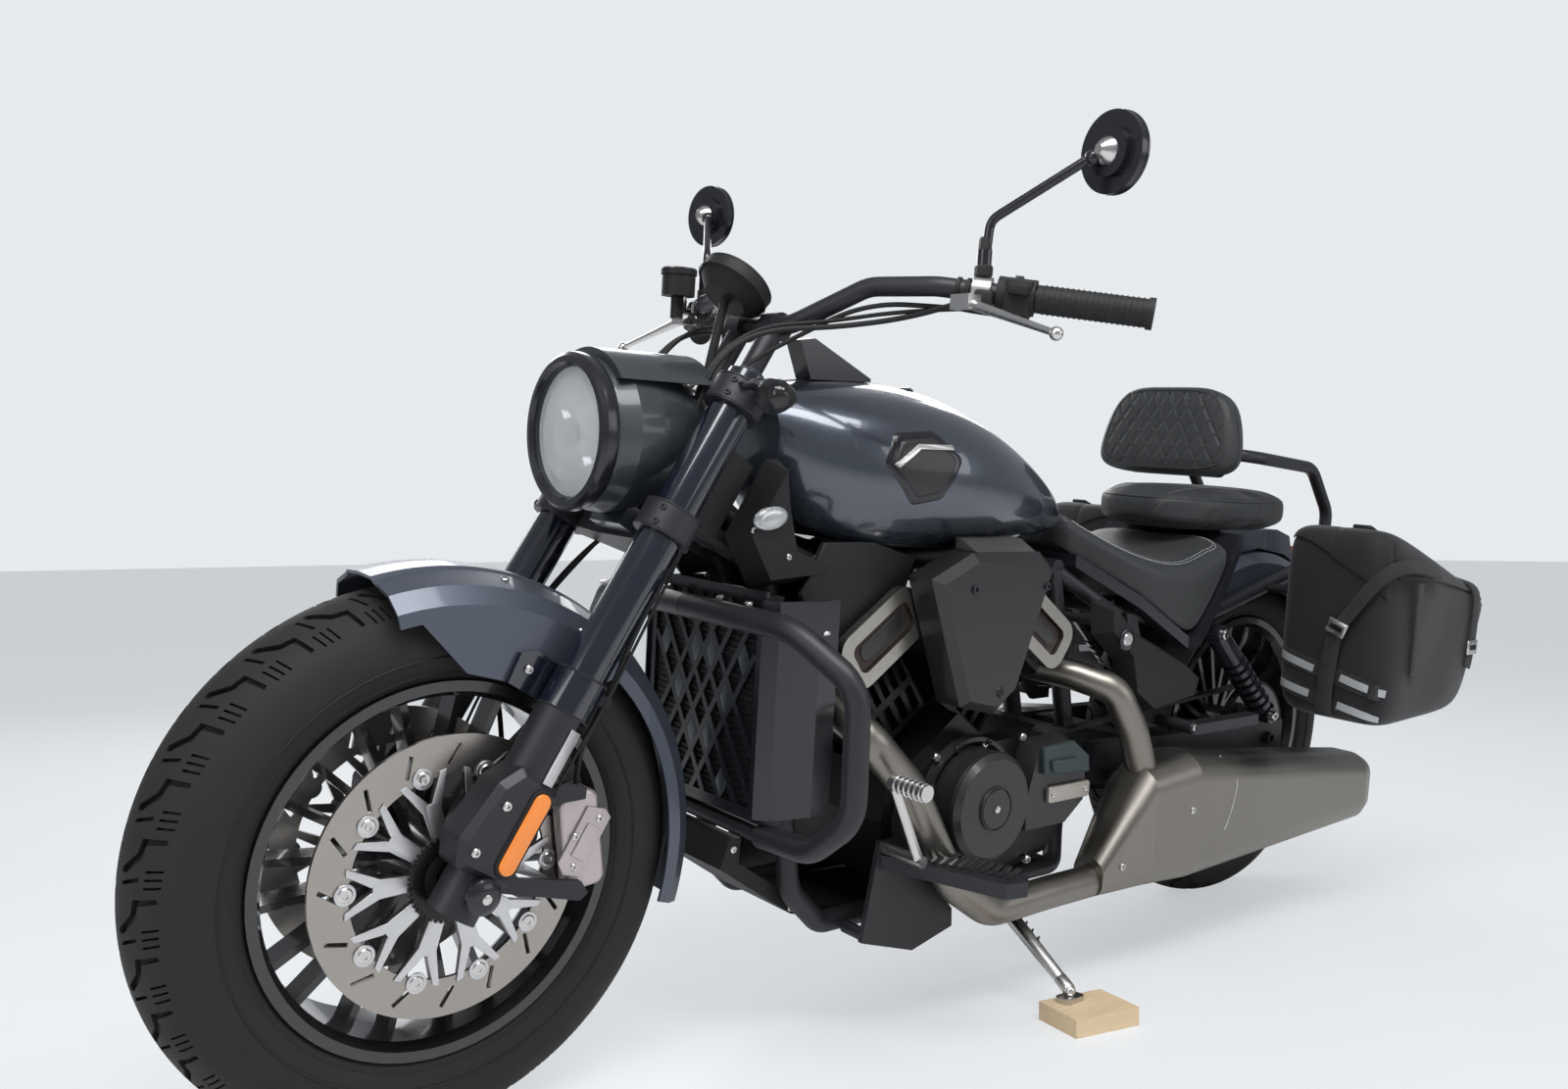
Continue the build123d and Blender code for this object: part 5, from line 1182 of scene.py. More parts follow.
@dataclass
class Headlamp:
    """Bowl, petals, bulb and gloss ring behind and round the lens."""

    shop: Shop
    front: float = 628.0
    z: float = 817.0

    def build(self) -> None:
        """Builds the lamp's inside and its ring."""
        shop = self.shop
        ring = Bench.lathe([(-14, 94.5), (-6, 97), (2, 96), (7, 91), (8, 84), (4, 80.5), (-3, 80.2), (-3, 84), (-14, 94.5)],
                           (self.front, 0, self.z), (1, 0, 0), 96)
        shop.piece(ring, "lamp_ring", Finishes.gloss, Body.FRONT_END)
        # Bowl liner in near-black chrome: painted shade inside the lamp.
        bowl = Bench.lathe([(-12.5, 78.5), (-20, 72), (-28, 60), (-29, 20), (-29, 0.01)], (self.front, 0, self.z), (1, 0, 0), 28)
        shop.piece(bowl, "lamp_chrome_painted_shade_liner", Finishes.painted_shade_liner, Body.FRONT_END, smooth=4)
        # Petals in darkened chrome: painted shade inside the lamp.
        petals = []
        for turn in (45, 135, 225, 315):
            petal = Bench.lathe([(-27, 0.01), (-27.5, 9), (-24, 22), (-16.5, 31), (-14.5, 32.5), (-14.5, 34.5), (-29, 33)],
                                (self.front, 0, self.z), (1, 0, 0), 14)
            stretch = Matrix.Diagonal((1, 0.58, 0.92, 1))
            a = math.radians(turn)
            move = Matrix.Translation(Vector((0, math.cos(a) * 39, math.sin(a) * 39)) * MM)
            about = Matrix.Translation(Vector((self.front, 0, self.z)) * MM)
            spin = Matrix.Rotation(a - math.pi / 2, 4, "X")
            petal.data.transform(about @ move.to_3x3().to_4x4() @ Matrix.Translation(move.translation) @ spin @ stretch
                                 @ about.inverted())
            petals.append(petal)
        shop.piece(Bench.join(petals, "petals"), "lamp_petals", Finishes.bowl, Body.FRONT_END, smooth=4)
        bulb = Bench.lathe([(-28, 15), (-20, 14), (-18, 9), (-9, 8), (-7, 12), (-5, 12), (-4, 6), (-3.5, 0.01)],
                           (self.front, 0, self.z), (1, 0, 0), 24)
        shop.piece(bulb, "lamp_bulb_shield", Finishes.bright, Body.FRONT_END)
        bars = [Bench.block((3, 3.4, 66), (self.front - 13, 0, self.z), (0, 0, 0), 0.8),
                Bench.block((3, 66, 3.4), (self.front - 13, 0, self.z), (0, 0, 0), 0.8)]
        shop.piece(Bench.join(bars, "bars"), "lamp_cross", Finishes.bright, Body.FRONT_END)


@dataclass
class Signals:
    """Turn signals on the fork and marker lamps on the neck covers."""

    shop: Shop
    fork: Fork = field(default_factory=Fork)

    @staticmethod
    def oval(middle: Vector, wide: float, high: float, steps: int = 28) -> list[Vector]:
        """Oval loop across the machine's length."""
        return [middle + Vector((0, wide * math.cos(2 * math.pi * i / steps), high * math.sin(2 * math.pi * i / steps)))
                for i in range(steps)]

    def build(self) -> None:
        """Builds the lamps."""
        shop = self.shop
        spot = self.fork.point(647, 186)
        back = [self.oval(spot + Vector((x, 0, 0)), w, h) for x, w, h in
                ((-25.6, 6, 5), (-25, 14, 10), (-18, 21, 15), (-9, 26.6, 19.6), (-5, 27.8, 20.8), (-4, 27, 20),
                 (-6, 25.6, 18.6))]
        shell = Bench.loft(back)
        stalk = Bench.rod((spot.x - 4, 156.6, spot.z), (spot.x - 4, 164, spot.z), 8, 9, bevel=1)
        wedge = Bench.plate([(spot.x - 26, spot.z + 14), (spot.x - 8, spot.z + 22), (spot.x + 22, spot.z + 15),
                             (spot.x + 22, spot.z + 9), (spot.x - 20, spot.z + 6)], 46, Bench.side(134), 2)
        shop.piece(Bench.both(Bench.join([shell, stalk], "housing")), "signal_housings", Finishes.plastic,
                   Body.FRONT_END, ("turn_signals",))
        shop.piece(Bench.both(wedge), "signal_arms", Finishes.gloss, Body.FRONT_END)
        mirror = Bench.loft([self.oval(spot + Vector((x, 0, 0)), w, h) for x, w, h in
                             ((-21, 6, 5), (-18, 14, 11), (-7.6, 24.6, 17.8), (-6, 24.6, 17.8), (-11, 18, 13), (-17, 8, 6))], False)
        shop.piece(Bench.both(mirror), "signal_bowls", Finishes.bright, Body.FRONT_END, smooth=4)
        glass = Bench.loft([self.oval(spot + Vector((x, 0, 0)), w, h) for x, w, h in
                            ((-5.6, 26.6, 19.6), (0, 28.2, 21.2), (6, 27.4, 20.4), (12, 23.6, 17.2), (16.2, 16, 11), (17.8, 6, 4))])
        shop.piece(Bench.both(glass), "signal_lenses", Finishes.fluted, Body.FRONT_END)
        tilt = Matrix.Rotation(math.radians(10), 4, "Y")
        for label, finish, depth, grow in (("marker_bowls", Finishes.bright, 0.0, 0), ("marker_lenses", Finishes.fluted, 3.4, 1)):
            loops = []
            for y, w, h in ((0, 27, 15), (3, 27, 15), (6, 24, 12.6), (8.4, 16, 8), (9.4, 6, 3)):
                loops.append([tilt @ Vector(((w - 2 * (1 - grow)) * math.cos(math.pi * i / 14), 0,
                                             (h - 2 * (1 - grow)) * math.sin(math.pi * i / 14)))
                              + Vector((398, 112.5 + depth * 0.1 + y * (0.5 + 0.5 * grow), 722)) for i in range(28)])
            lamp = Bench.both(Bench.loft(loops))
            shop.piece(lamp, label, finish, Body.ROOT, ("marker_lamps",), smooth=4 if not grow else 32)


@dataclass
class Cockpit:
    """Switchgear, grip ribs, cables, mirror glass and the instrument's face."""

    shop: Shop
    end: Vector = field(default_factory=lambda: Vector((118, 452, 994)))
    inner: Vector = field(default_factory=lambda: Vector((262, 245, 1020)))

    def along(self, back: float, ahead: float = 0.0, up: float = 0.0) -> Vector:
        """Point on the left grip line, back from the bar's end."""
        way = (self.end - self.inner).normalized()
        side = way.cross(Vector((0, 0, 1))).normalized()
        if side.x < 0:
            side = -side
        return self.end - way * back + side * ahead + Vector((0, 0, up))

    def build(self) -> None:
        """Builds the left half and mirrors it."""
        shop = self.shop
        way = (self.end - self.inner).normalized()
        ribs = [Bench.lathe([(-1.4, 16.6), (-0.8, 18), (0.8, 18), (1.4, 16.6), (-1.4, 16.6)], self.along(6 + i * 6.4), way, 28)
                for i in range(19)]
        shop.piece(Bench.both(Bench.join(ribs, "ribs")), "grip_ribs", Finishes.rubber, Body.FRONT_END)
        box = Bench.block((40, 34, 46), (0, 0, 0), bevel=6)
        turn = way.to_track_quat("Y", "Z").to_matrix().to_4x4()
        box.data.transform(Matrix.Translation(self.along(152, 4, -3) * MM) @ turn)
        tongue = Bench.block((16, 26, 14), (0, 0, 0), bevel=3)
        tongue.data.transform(Matrix.Translation(self.along(150, 26, 6) * MM) @ turn)
        shop.piece(Bench.both(Bench.join([box, tongue], "switches")), "switch_housings", Finishes.plastic, Body.FRONT_END)
        buttons = []
        for ahead, up, back in ((-18, 8, 148), (-18, -4, 154), (-17, -13, 147), (6, 21, 152)):
            button = Bench.block((7, 11, 7), (0, 0, 0), bevel=1.6)
            button.data.transform(Matrix.Translation(self.along(back, ahead, up) * MM) @ turn)
            buttons.append(button)
        shop.piece(Bench.both(Bench.join(buttons, "buttons")), "switch_buttons", Finishes.nacelle, Body.FRONT_END)
        perch = Bench.block((28, 24, 26), (0, 0, 0), bevel=5)
        perch.data.transform(Matrix.Translation(self.along(192, 16, -12) * MM) @ turn)
        boot = Bench.hose([self.along(178, 22, -22), self.along(206, 20, -22), self.along(226, 18, -20)], 7.5)
        shop.piece(Bench.both(Bench.join([perch, boot], "perch")), "lever_perches", Finishes.plastic, Body.FRONT_END)
        lines = [Bench.hose([self.along(226, 18, -20), Vector((262, 215, 984)), Vector((318, 130, 968)), Vector((392, 88, 960)),
                             Vector((440, 74, 938)), Vector((478, 72, 896)), Vector((490, 70, 850))], 3.6),
                 Bench.hose([self.along(190, -6, -18), Vector((268, 205, 992)), Vector((326, 112, 974)), Vector((398, 76, 964)),
                             Vector((450, 64, 930)), Vector((484, 62, 880)), Vector((492, 60, 846))], 2.8),
                 Bench.hose([self.along(170, -8, -20), Vector((244, 250, 996)), Vector((300, 160, 1000)), Vector((344, 70, 952)),
                             Vector((392, 40, 918)), Vector((430, 34, 880))], 3.2)]
        shop.piece(Bench.both(Bench.join(lines, "lines")), "bar_cables", Finishes.rubber, Body.FRONT_END)
        ties = []
        for back in (214, 226):
            ties.append(Bench.lathe([(-3, 13.4), (-2, 15), (2, 15), (3, 13.4), (-3, 13.4)], self.along(back), way, 24))
        shop.piece(Bench.both(Bench.join(ties, "ties")), "cable_ties", Finishes.rubber, Body.FRONT_END)
        head, axis = Vector((140, 405, 1182)), Vector((-1, 0.12, 0.04)).normalized()
        glass = Bench.lathe([(0, 0.01), (0, 43.5), (-1.4, 45), (-3, 45)], head + Vector((8, 0, 0)) + axis * 12.4, axis, 56)
        shop.piece(Bench.both(glass), "mirror_glass", Finishes.stanchion, Body.FRONT_END)
        rim = Bench.lathe([(-2, 46), (1.6, 46), (2.4, 47.5), (1.6, 49.4), (-2, 49.6), (-2, 46)],
                          head + Vector((8, 0, 0)) + axis * 11, axis, 56)
        shop.piece(Bench.both(rim), "mirror_rims", Finishes.gloss, Body.FRONT_END)
        boss = Bench.lathe([(0, 17), (3, 16), (10, 10), (14, 6), (14.6, 0.01)], head + Vector((16, 0, 0)), -axis, 32)
        shop.piece(Bench.both(boss), "mirror_bosses", Finishes.bright, Body.FRONT_END)
        nut = Bench.lathe([(0, 10), (2, 11.5), (12, 11.5), (15, 9), (44, 8), (48, 6.6)], self.along(197, 0, 18), (0, 0, 1), 6)
        shop.piece(Bench.both(nut), "mirror_boots", Finishes.rubber, Body.FRONT_END)
        pot = Bench.lathe([(998, 10.8), (1031.4, 10.8), (1031.4, 25.7), (1063.6, 25.7), (1063.6, 27.8), (1072, 27.8),
                           (1074, 26), (1074, 0.01)], (275, -296, 0), (0, 0, 1), 40)
        shop.piece(pot, "fluid_reservoir", Finishes.plastic, Body.FRONT_END)
        self.dial()

    def dial(self) -> None:
        """Builds the instrument's glass, hood lip and tick marks."""
        middle, axis = Vector((392, 0, 1014)), Vector((-0.62, 0, 0.78)).normalized()
        face = Bench.lathe([(0, 0.01), (0, 43.6)], middle + axis * 11.6, axis, 48)
        self.shop.piece(face, "dial_face", Finishes.gloss, Body.FRONT_END)
        lip = Bench.lathe([(-3, 50.6), (-2, 51.6), (0, 51.6), (1, 50.6), (-3, 50.6)], middle, axis, 64)
        hood = Bench.lathe([(14, 44.4), (17.5, 45), (18, 48), (16, 50.4), (14, 50.4), (14, 44.4)], middle, axis, 64)
        self.shop.piece(Bench.join([lip, hood], "lip"), "dial_rim", Finishes.plastic, Body.FRONT_END)
        turn = axis.to_track_quat("Z", "Y").to_matrix().to_4x4()
        ticks = []
        for i in range(21):
            a = math.radians(-40 + 260 * i / 20)
            long = 6 if i % 5 == 0 else 3.5
            tick = Bench.block((long, 1, 0.8), (40 - long / 2, 0, 0))
            tick.data.transform(Matrix.Translation((middle + axis * 12.2) * MM) @ turn @ Matrix.Rotation(a, 4, "Z"))
            ticks.append(tick)
        self.shop.piece(Bench.join(ticks, "ticks"), "dial_ticks", Finishes.thread, Body.FRONT_END)


@dataclass
class TankDress:
    """Badge, ridge seam, flange and console trim of the fuel tank."""

    shop: Shop

    def build(self) -> None:
        """Builds the tank's trim."""
        shop = self.shop
        corners = [(232, 798), (213, 838), (147, 845), (106, 808), (139, 753), (186, 743)]
        base = self.hexagon(corners, 1.0, 0)
        shop.piece(Bench.both(shop.conform(base, "fuel_tank", 2.4)), "badge_rims", Finishes.gloss)
        plate = self.hexagon(corners, 0.80, 3)
        shop.piece(Bench.both(shop.conform(plate, "fuel_tank", 4.6)), "badge_plates", Finishes.cover)
        chevron = Bench.plate(self.finer([(222, 797), (182, 826), (126, 827), (124, 820), (180, 819), (214, 793)]), 3,
                              Bench.side(0), 0.8)
        shop.piece(Bench.both(shop.conform(chevron, "fuel_tank", 6.6)), "badge_chevrons", Finishes.bright)
        seam = []
        for x in range(330, -245, -22):
            top = shop.drop("fuel_tank", x, 0)
            if top is not None:
                seam.append((x, 0, top + 0.4))
        shop.piece(Bench.hose(seam, 1.6), "tank_ridge_seam", Finishes.gloss)
        lip = Bench.hose([(330, 44, 748), (285, 71, 703), (230, 92, 692), (170, 105, 685), (100, 110, 685), (30, 113, 687),
                          (-50, 104, 690), (-120, 93, 694), (-205, 59, 699)], 3.2)
        shop.piece(Bench.both(lip), "tank_lower_lip", Finishes.gloss)
        cap = Bench.lathe([(0, 34), (3, 34), (6, 31), (7, 24), (7, 0.01)], (96, 0, 899), (0.08, 0, 1), 48)
        shop.piece(cap, "filler_cap", Finishes.cover)

    @staticmethod
    def finer(loop: Sequence[tuple[float, float]], step: float = 5.0) -> list[tuple[float, float]]:
        """Adds points along an outline so that it can follow a curved skin."""
        out = []
        for a, b in zip(loop, [*loop[1:], loop[0]]):
            count = max(1, round(math.dist(a, b) / step))
            out += [(a[0] + (b[0] - a[0]) * i / count, a[1] + (b[1] - a[1]) * i / count) for i in range(count)]
        return out

    @staticmethod
    def hexagon(corners: Sequence[tuple[float, float]], scale: float, inset: float) -> Solid:
        """Faceted disc of rings that shrink towards its middle, closed behind.

        Args:
            corners: outline in side view.
            scale: size of the outline.
            inset: how far its rounded rim steps in.

        Returns:
            The disc, flat, its face up +y.
        """
        mx = sum(c[0] for c in corners) / len(corners)
        mz = sum(c[1] for c in corners) / len(corners)
        loop = []
        for a, b in zip(corners, [*corners[1:], corners[0]]):
            for t in (0.08, 0.3, 0.5, 0.7, 0.92):
                loop.append((a[0] + (b[0] - a[0]) * t, a[1] + (b[1] - a[1]) * t))
        rings = []
        for size, rise in ((1.0, -3), (1.0, 0), (0.96, 1.6), (0.88, 2.0), (0.6, 2.0 - inset * 0.2), (0.3, 2.0), (0.02, 2.0)):
            rings.append([Vector((mx + (x - mx) * size * scale, rise, mz + (z - mz) * size * scale)) for x, z in loop])
        return Bench.loft(rings)


@dataclass
class Padding:
    """Seat, passenger pad and backrest, shaped from closed forms; the passenger pad is blown up."""

    shop: Shop

    @staticmethod
    def pillow(cuts: int, power: float, shape: Callable[[Vector], Vector]) -> Solid:
        """A cube rounded to a cushion form and moved by a shape rule.

        Args:
            cuts: subdivisions of the cube's faces.
            power: higher is boxier.
            shape: gives the place in mm of a point of the unit form.

        Returns:
            The closed form.
        """
        Bench.clear()
        bpy.ops.mesh.primitive_cube_add(size=2)
        obj = bpy.context.object
        bpy.ops.object.mode_set(mode="EDIT")
        bpy.ops.mesh.select_all(action="SELECT")
        bpy.ops.mesh.subdivide(number_cuts=cuts)
        bpy.ops.object.mode_set(mode="OBJECT")
        for vert in obj.data.vertices:
            p = vert.co
            norm = (abs(p.x) ** power + abs(p.y) ** power + abs(p.z) ** power) ** (1 / power)
            vert.co = shape(p / norm) * MM
        return Bench.outward(obj)

    def puff(self, obj: Solid, pressure: float, cap: float, voxel: float = 6.0) -> Solid:
        """Blows a form up as cloth with a capped movement.

        Args:
            obj: the closed form on the upright machine.
            pressure: cloth pressure.
            cap: furthest that a point may move, in mm.
            voxel: remesh size in mm.

        Returns:
            The swollen form.
        """
        Bench.only(obj)
        grid = obj.modifiers.new("remesh", "REMESH")
        grid.mode = "VOXEL"
        grid.voxel_size = voxel * MM
        bpy.ops.object.modifier_apply(modifier=grid.name)
        rest = [v.co.copy() for v in obj.data.vertices]
        cloth = obj.modifiers.new("cloth", "CLOTH")
        cloth.settings.use_pressure = True
        cloth.settings.uniform_pressure_force = pressure
        cloth.settings.effector_weights.gravity = 0
        cloth.settings.tension_stiffness = 40
        cloth.settings.bending_stiffness = 4
        cloth.point_cache.frame_start = 1
        cloth.point_cache.frame_end = 20
        for step in range(1, 21):
            bpy.context.scene.frame_set(step)
        Bench.only(obj)
        bpy.ops.object.modifier_apply(modifier=cloth.name)
        for vert, home in zip(obj.data.vertices, rest):
            moved = vert.co - home
            if moved.length > cap * MM:
                vert.co = home + moved.normalized() * cap * MM
        bpy.context.scene.frame_set(1)
        return Bench.subdivide(obj, 1)

    def build(self) -> None:
        """Builds all three pads with their seams."""
        self.rider()
        self.passenger()
        self.backrest()

    def rider(self) -> None:
        """Builds the rider's seat: bucket top over a pointed skirt."""
        stations = [(-253, 60, 734, 672), (-272, 70, 722, 659), (-300, 92, 704, 641), (-340, 126, 682, 616),
                    (-390, 146, 665, 585), (-440, 156, 657, 553), (-478, 159, 659, 535), (-505, 158, 665, 542),
                    (-540, 157, 676, 584), (-575, 153, 689, 625), (-605, 146, 696, 661), (-632, 141, 694, 688)]
        loops = []
        for x, w, top, low in stations:
            half = [(0, top - 3), (0.35 * w, top - 1), (0.62 * w, top), (0.80 * w, top - 4), (0.92 * w, top - 12),
                    (0.985 * w, top - 25 if top - low > 60 else (top + low) / 2 + 4), (1.0 * w, (top + low) / 2),
                    (0.98 * w, low + 8), (0.955 * w, low + 1), (0.93 * w, low + 1)]
            floor = min(max(low + 3, 614), top - 8)
            half += [(min(0.90 * w, 127), min(low + 6, floor)), (min(0.86 * w, 125.5), floor), (0.4 * w, floor), (0, floor)]
            loop = [(x, y, z) for y, z in half] + [(x, -y, z) for y, z in reversed(half[1:-1])]
            loops.append(loop)
        seat = Bench.subdivide(Bench.loft(loops), 2)
        self.shop.piece(seat, "rider_saddle", Finishes.seat, Body.ROOT, ("rider_seat",), 60)
        for label, ratio, drop in (("saddle_stitch_outer", 0.86, 6.8), ("saddle_stitch_inner", 0.82, 4.6)):
            line = []
            for x, w, top, low in stations[1:-2]:
                line.append(Vector((x, ratio * w, top - drop + 1.2)))
            self.stitches(line + [Vector((-600, 60, 700)), Vector((-603, 0, 700))], label, Finishes.thread)

    def stitches(self, line: Sequence[Vector], name: str, finish: Finish, length: float = 5.0, gap: float = 3.0,
                 radius: float = 0.7, node: str = "") -> None:
        """Sews a row of short threads along a line, on both flanks.

        Args:
            line: the line's points.
            name: name of the piece.
            finish: the thread.
            length: length of a stitch.
            gap: gap between stitches.
            radius: half the thread's thickness.
            node: name of the piece it lies on.
        """
        points = Bench.spread(line, length + gap)
        carrier = bpy.data.objects.get(node) if node else bpy.data.objects.get("rider_saddle")
        threads = []
        for a, b in zip(points, points[1:]):
            way = (b - a).normalized()
            ends = [a + way * gap / 2, b - way * gap / 2]
            if carrier:
                ends = [self.shop.onto(carrier, p, radius * 0.4) for p in ends]
            threads.append(Bench.rod(ends[0], ends[1], radius, sides=6))
        self.shop.piece(Bench.both(Bench.join(threads, name)), name, finish)

    def passenger(self) -> None:
        """Builds the passenger's pad."""
        def place(p: Vector) -> Vector:
            x = -672 + p.x * (168 if p.x > 0 else 196)
            w = 127 * (1 - 0.34 * max(0.0, p.x) ** 2 - 0.06 * max(0.0, -p.x) ** 2)
            rise = 5 * (1 - p.y * p.y) * (1 - p.x * p.x)
            z = 738 + p.z * 33 + (rise if p.z > 0 else 0)
            return Vector((x, p.y * w, max(z, 703.4)))

        pad = self.puff(self.pillow(22, 4.2, place), 3.0, 4.0)
        self.shop.piece(pad, "passenger_pad", Finishes.seat, Body.ROOT, ("pillion_pad",), 60)
        piping = []
        for i in range(40):
            a = 2 * math.pi * i / 40
            c, s = math.cos(a), math.sin(a)
            n = (abs(c) ** 4.2 + abs(s) ** 4.2) ** (1 / 4.2)
            piping.append(self.shop.onto(pad, place(Vector((c / n * 0.97, s / n * 0.97, 0.55))), 0.2))
        piping.append(piping[0])
        self.shop.piece(Bench.hose(piping, 1.8), "passenger_piping", Finishes.seat)
        seam = [place(Vector((0.98, 0.55, -0.2))), place(Vector((0.7, 0.62, 0.8))), place(Vector((0.1, 0.70, 0.9))),
                place(Vector((-0.5, 0.9, 0.7))), place(Vector((-0.62, 0.98, -0.2)))]
        seam = [self.shop.onto(pad, p, 0.1) for p in Bench.spread(seam, 9)]
        self.shop.piece(Bench.both(Bench.hose(seam, 1.0)), "passenger_seams", Finishes.dark_thread)

    def backrest(self) -> None:
        """Builds the quilted backrest with its piping and gusset."""
        up = Vector((-0.14, 0, 0.99))
        out = Vector((0.99, 0, 0.14))
        low = Vector((-572, 0, 800))

        def wide(v: float) -> float:
            return 143 - 6 * v - 36 * max(0.0, v) ** 2.6

        def quilt(y: float, v: float) -> float:
            depth = 0.0
            for slope in (1, -1):
                t = (y + slope * v * 0.62) / 30.0
                gap = abs(t - round(t)) * 30.0 / 1.18
                depth = max(depth, math.exp(-(gap / 2.0) ** 2))
            return depth

        def place(p: Vector) -> Vector:
            v = (p.z + 1) / 2
            y = p.y * wide(v)
            depth = -28 + p.x * 27
            if p.x > 0:
                depth += 3.5 * (1 - (p.y ** 4)) * (1 - p.z ** 4) - 3
            if p.x > 0.55 and abs(p.y) < 0.84 and abs(p.z) < 0.84:
                depth -= 2.2 * quilt(y, v * 156)
            return low + up * (v * 156 + 2) + Vector((0, y, 0)) + out * depth

        pad = self.pillow(90, 5.0, place)
        self.shop.piece(pad, "backrest_cushion", Finishes.seat, Body.ROOT, ("backrest_pad",), 60)
        for label, x_at, size in (("backrest_piping_front", 0.86, 0.90), ("backrest_piping_rear", -0.7, 0.985)):
            loop = []
            for i in range(56):
                a = 2 * math.pi * i / 56
                c, s = math.cos(a), math.sin(a)
                n = (abs(c) ** 5 + abs(s) ** 5) ** 0.2
                loop.append(self.shop.onto(pad, place(Vector((x_at, c / n * size, s / n * size))), 0.3))
            loop.append(loop[0])
            self.shop.piece(Bench.hose(loop, 1.7), label, Finishes.seat)


@dataclass
class Luggage:
    """Saddlebags with lids, straps, buckles and reflective tape."""

    shop: Shop
    inner: float = 172.0
    outer: float = 388.0

    def shape(self, p: Vector, grow: float = 0.0) -> Vector:
        """Places a point of the unit form on the left bag."""
        u, w, v = (p.x + 1) / 2, (p.y + 1) / 2, (p.z + 1) / 2
        front = Vector((-716, 0, 384)).lerp(Vector((-705, 0, 742)), v)
        rear = Vector((-1020, 0, 400)).lerp(Vector((-1108, 0, 585)), min(1.0, v * 1.25))
        if v > 0.8:
            rear = Vector((-1108, 0, 585)).lerp(Vector((-1092, 0, 602)), (v - 0.8) * 5)
        spot = rear.lerp(front, u)
        bulge = 10 * (1 - p.x ** 2) * (1 - p.z ** 2)
        sag = 5 * math.sin(spot.x / 34 + v * 5) * (1 - p.x ** 4) * (1 - p.z ** 4)
        y = self.inner + 2 + w * (self.outer - self.inner - 4) - (0 if w < 0.5 else 1) * (6 * v + 4 - bulge * 0.6 + sag * 0.5)
        middle = Vector((-890, (self.inner + self.outer) / 2, 560))
        place = Vector((spot.x, y, spot.z))
        return place + (place - middle).normalized() * grow

    def build(self) -> None:
        """Builds both bags."""
        bag = Padding.pillow(26, 6.5, self.shape)
        left = bag
        right = Bench.copy(bag, Matrix.Scale(-1, 4, Vector((0, 1, 0))))
        for obj, name in ((left, "saddlebag_left"), (right, "saddlebag_right")):
            self.shop.piece(obj, name + "_shell", Finishes.bag, Body.ROOT, (name,), 50)
        self.lid()
        self.tape()
        self.straps()

    def lid(self) -> None:
        """Lays the lid over the top and diagonally down the front face."""
        rows = []
        edge = [(-0.98, -0.28), (-0.6, 0.10), (-0.2, 0.30), (0.3, 0.42), (0.8, 0.42), (1.0, 0.42)]
        for i in range(25):
            y = -1 + 2 * i / 24
            row = []
            drop = 0.10 + 0.62 * ((y + 1) / 2) ** 1.1
            for k in range(9):
                row.append(Vector((1.0, y, 1 - drop * (1 - k / 8))))
            for k in range(1, 21):
                row.append(Vector((1 - 2 * k / 20, y, 1.0)))
            rows.append(row)
        for i in range(1, 11):
            row = []
            for k in range(9):
                z = 1 - 0.72 * (1 - k / 8)
                row.append(Vector((1.0 - 0.0 * i, 1.0, z - 0.0)) if k > 7 else Vector((1.0, 1.0, z)))
            rows.append(row + [Vector((1 - 2 * k / 20, 1.0, 1.0 - 0.052 * i * (0.35 + 0.65 * (1 - k / 20)))) for k in range(1, 21)])
        mesh = bpy.data.meshes.new("lid")
        points, faces = [], []
        for row in rows:
            for p in row:
                n = (abs(p.x) ** 6.5 + abs(p.y) ** 6.5 + abs(p.z) ** 6.5) ** (1 / 6.5)
                points.append(self.shape(p / n, 3.2) * MM)
        width = len(rows[0])
        for i in range(len(rows) - 1):
            for k in range(width - 1):
                a = i * width + k
                faces.append((a, a + 1, a + width + 1, a + width))
        mesh.from_pydata(points, [], faces)
        lid = bpy.data.objects.new("lid", mesh)
        bpy.context.scene.collection.objects.link(lid)
        Bench.outward(lid)
        Bench.only(lid)
        thick = lid.modifiers.new("thickness", "SOLIDIFY")
        thick.thickness = 0.003
        thick.offset = 0
        bpy.ops.object.modifier_apply(modifier=thick.name)
        Bench.subdivide(lid, 1)
        lid = Bench.both(lid)
        self.shop.piece(lid, "saddlebag_lids", Finishes.bag, Body.ROOT, (), 50)

    @staticmethod
    def area(obj: Solid) -> float:
        """Surface area of a mesh."""
        return sum(face.area for face in obj.data.polygons)

    def tape(self) -> None:
        """Sews four reflective strips on the front face."""
        rows = ((188, 494, 268, 474), (303, 470, 378, 451), (188, 444, 262, 429), (298, 421, 368, 406))
        strips = [self.strap(self.on_front(*row, 2.6), 13, Vector((0, 0, 1)), 1.6) for row in rows]
        band = [self.strap(self.on_front(*row, 1.0), 27, Vector((0, 0, 1)), 1.6)
                for row in ((184, 496, 382, 450), (184, 446, 376, 404))]
        self.shop.piece(Bench.both(Bench.join(band, "band")), "bag_front_bands", Finishes.webbing)
        self.shop.piece(Bench.both(Bench.join(strips, "tape")), "bag_tape", Finishes.reflective)

    def on_front(self, y0: float, z0: float, y1: float, z1: float, lift: float) -> list[Vector]:
        """Lays a line between two points onto the bag's front face."""
        line = []
        for i in range(13):
            y, z = y0 + (y1 - y0) * i / 12, z0 + (z1 - z0) * i / 12
            hit = self.shop.probe("saddlebag_left_shell", Vector((-500, y, z)), Vector((-1, 0, 0)))
            if hit:
                line.append(hit + Vector((lift, 0, 0)))
        return line

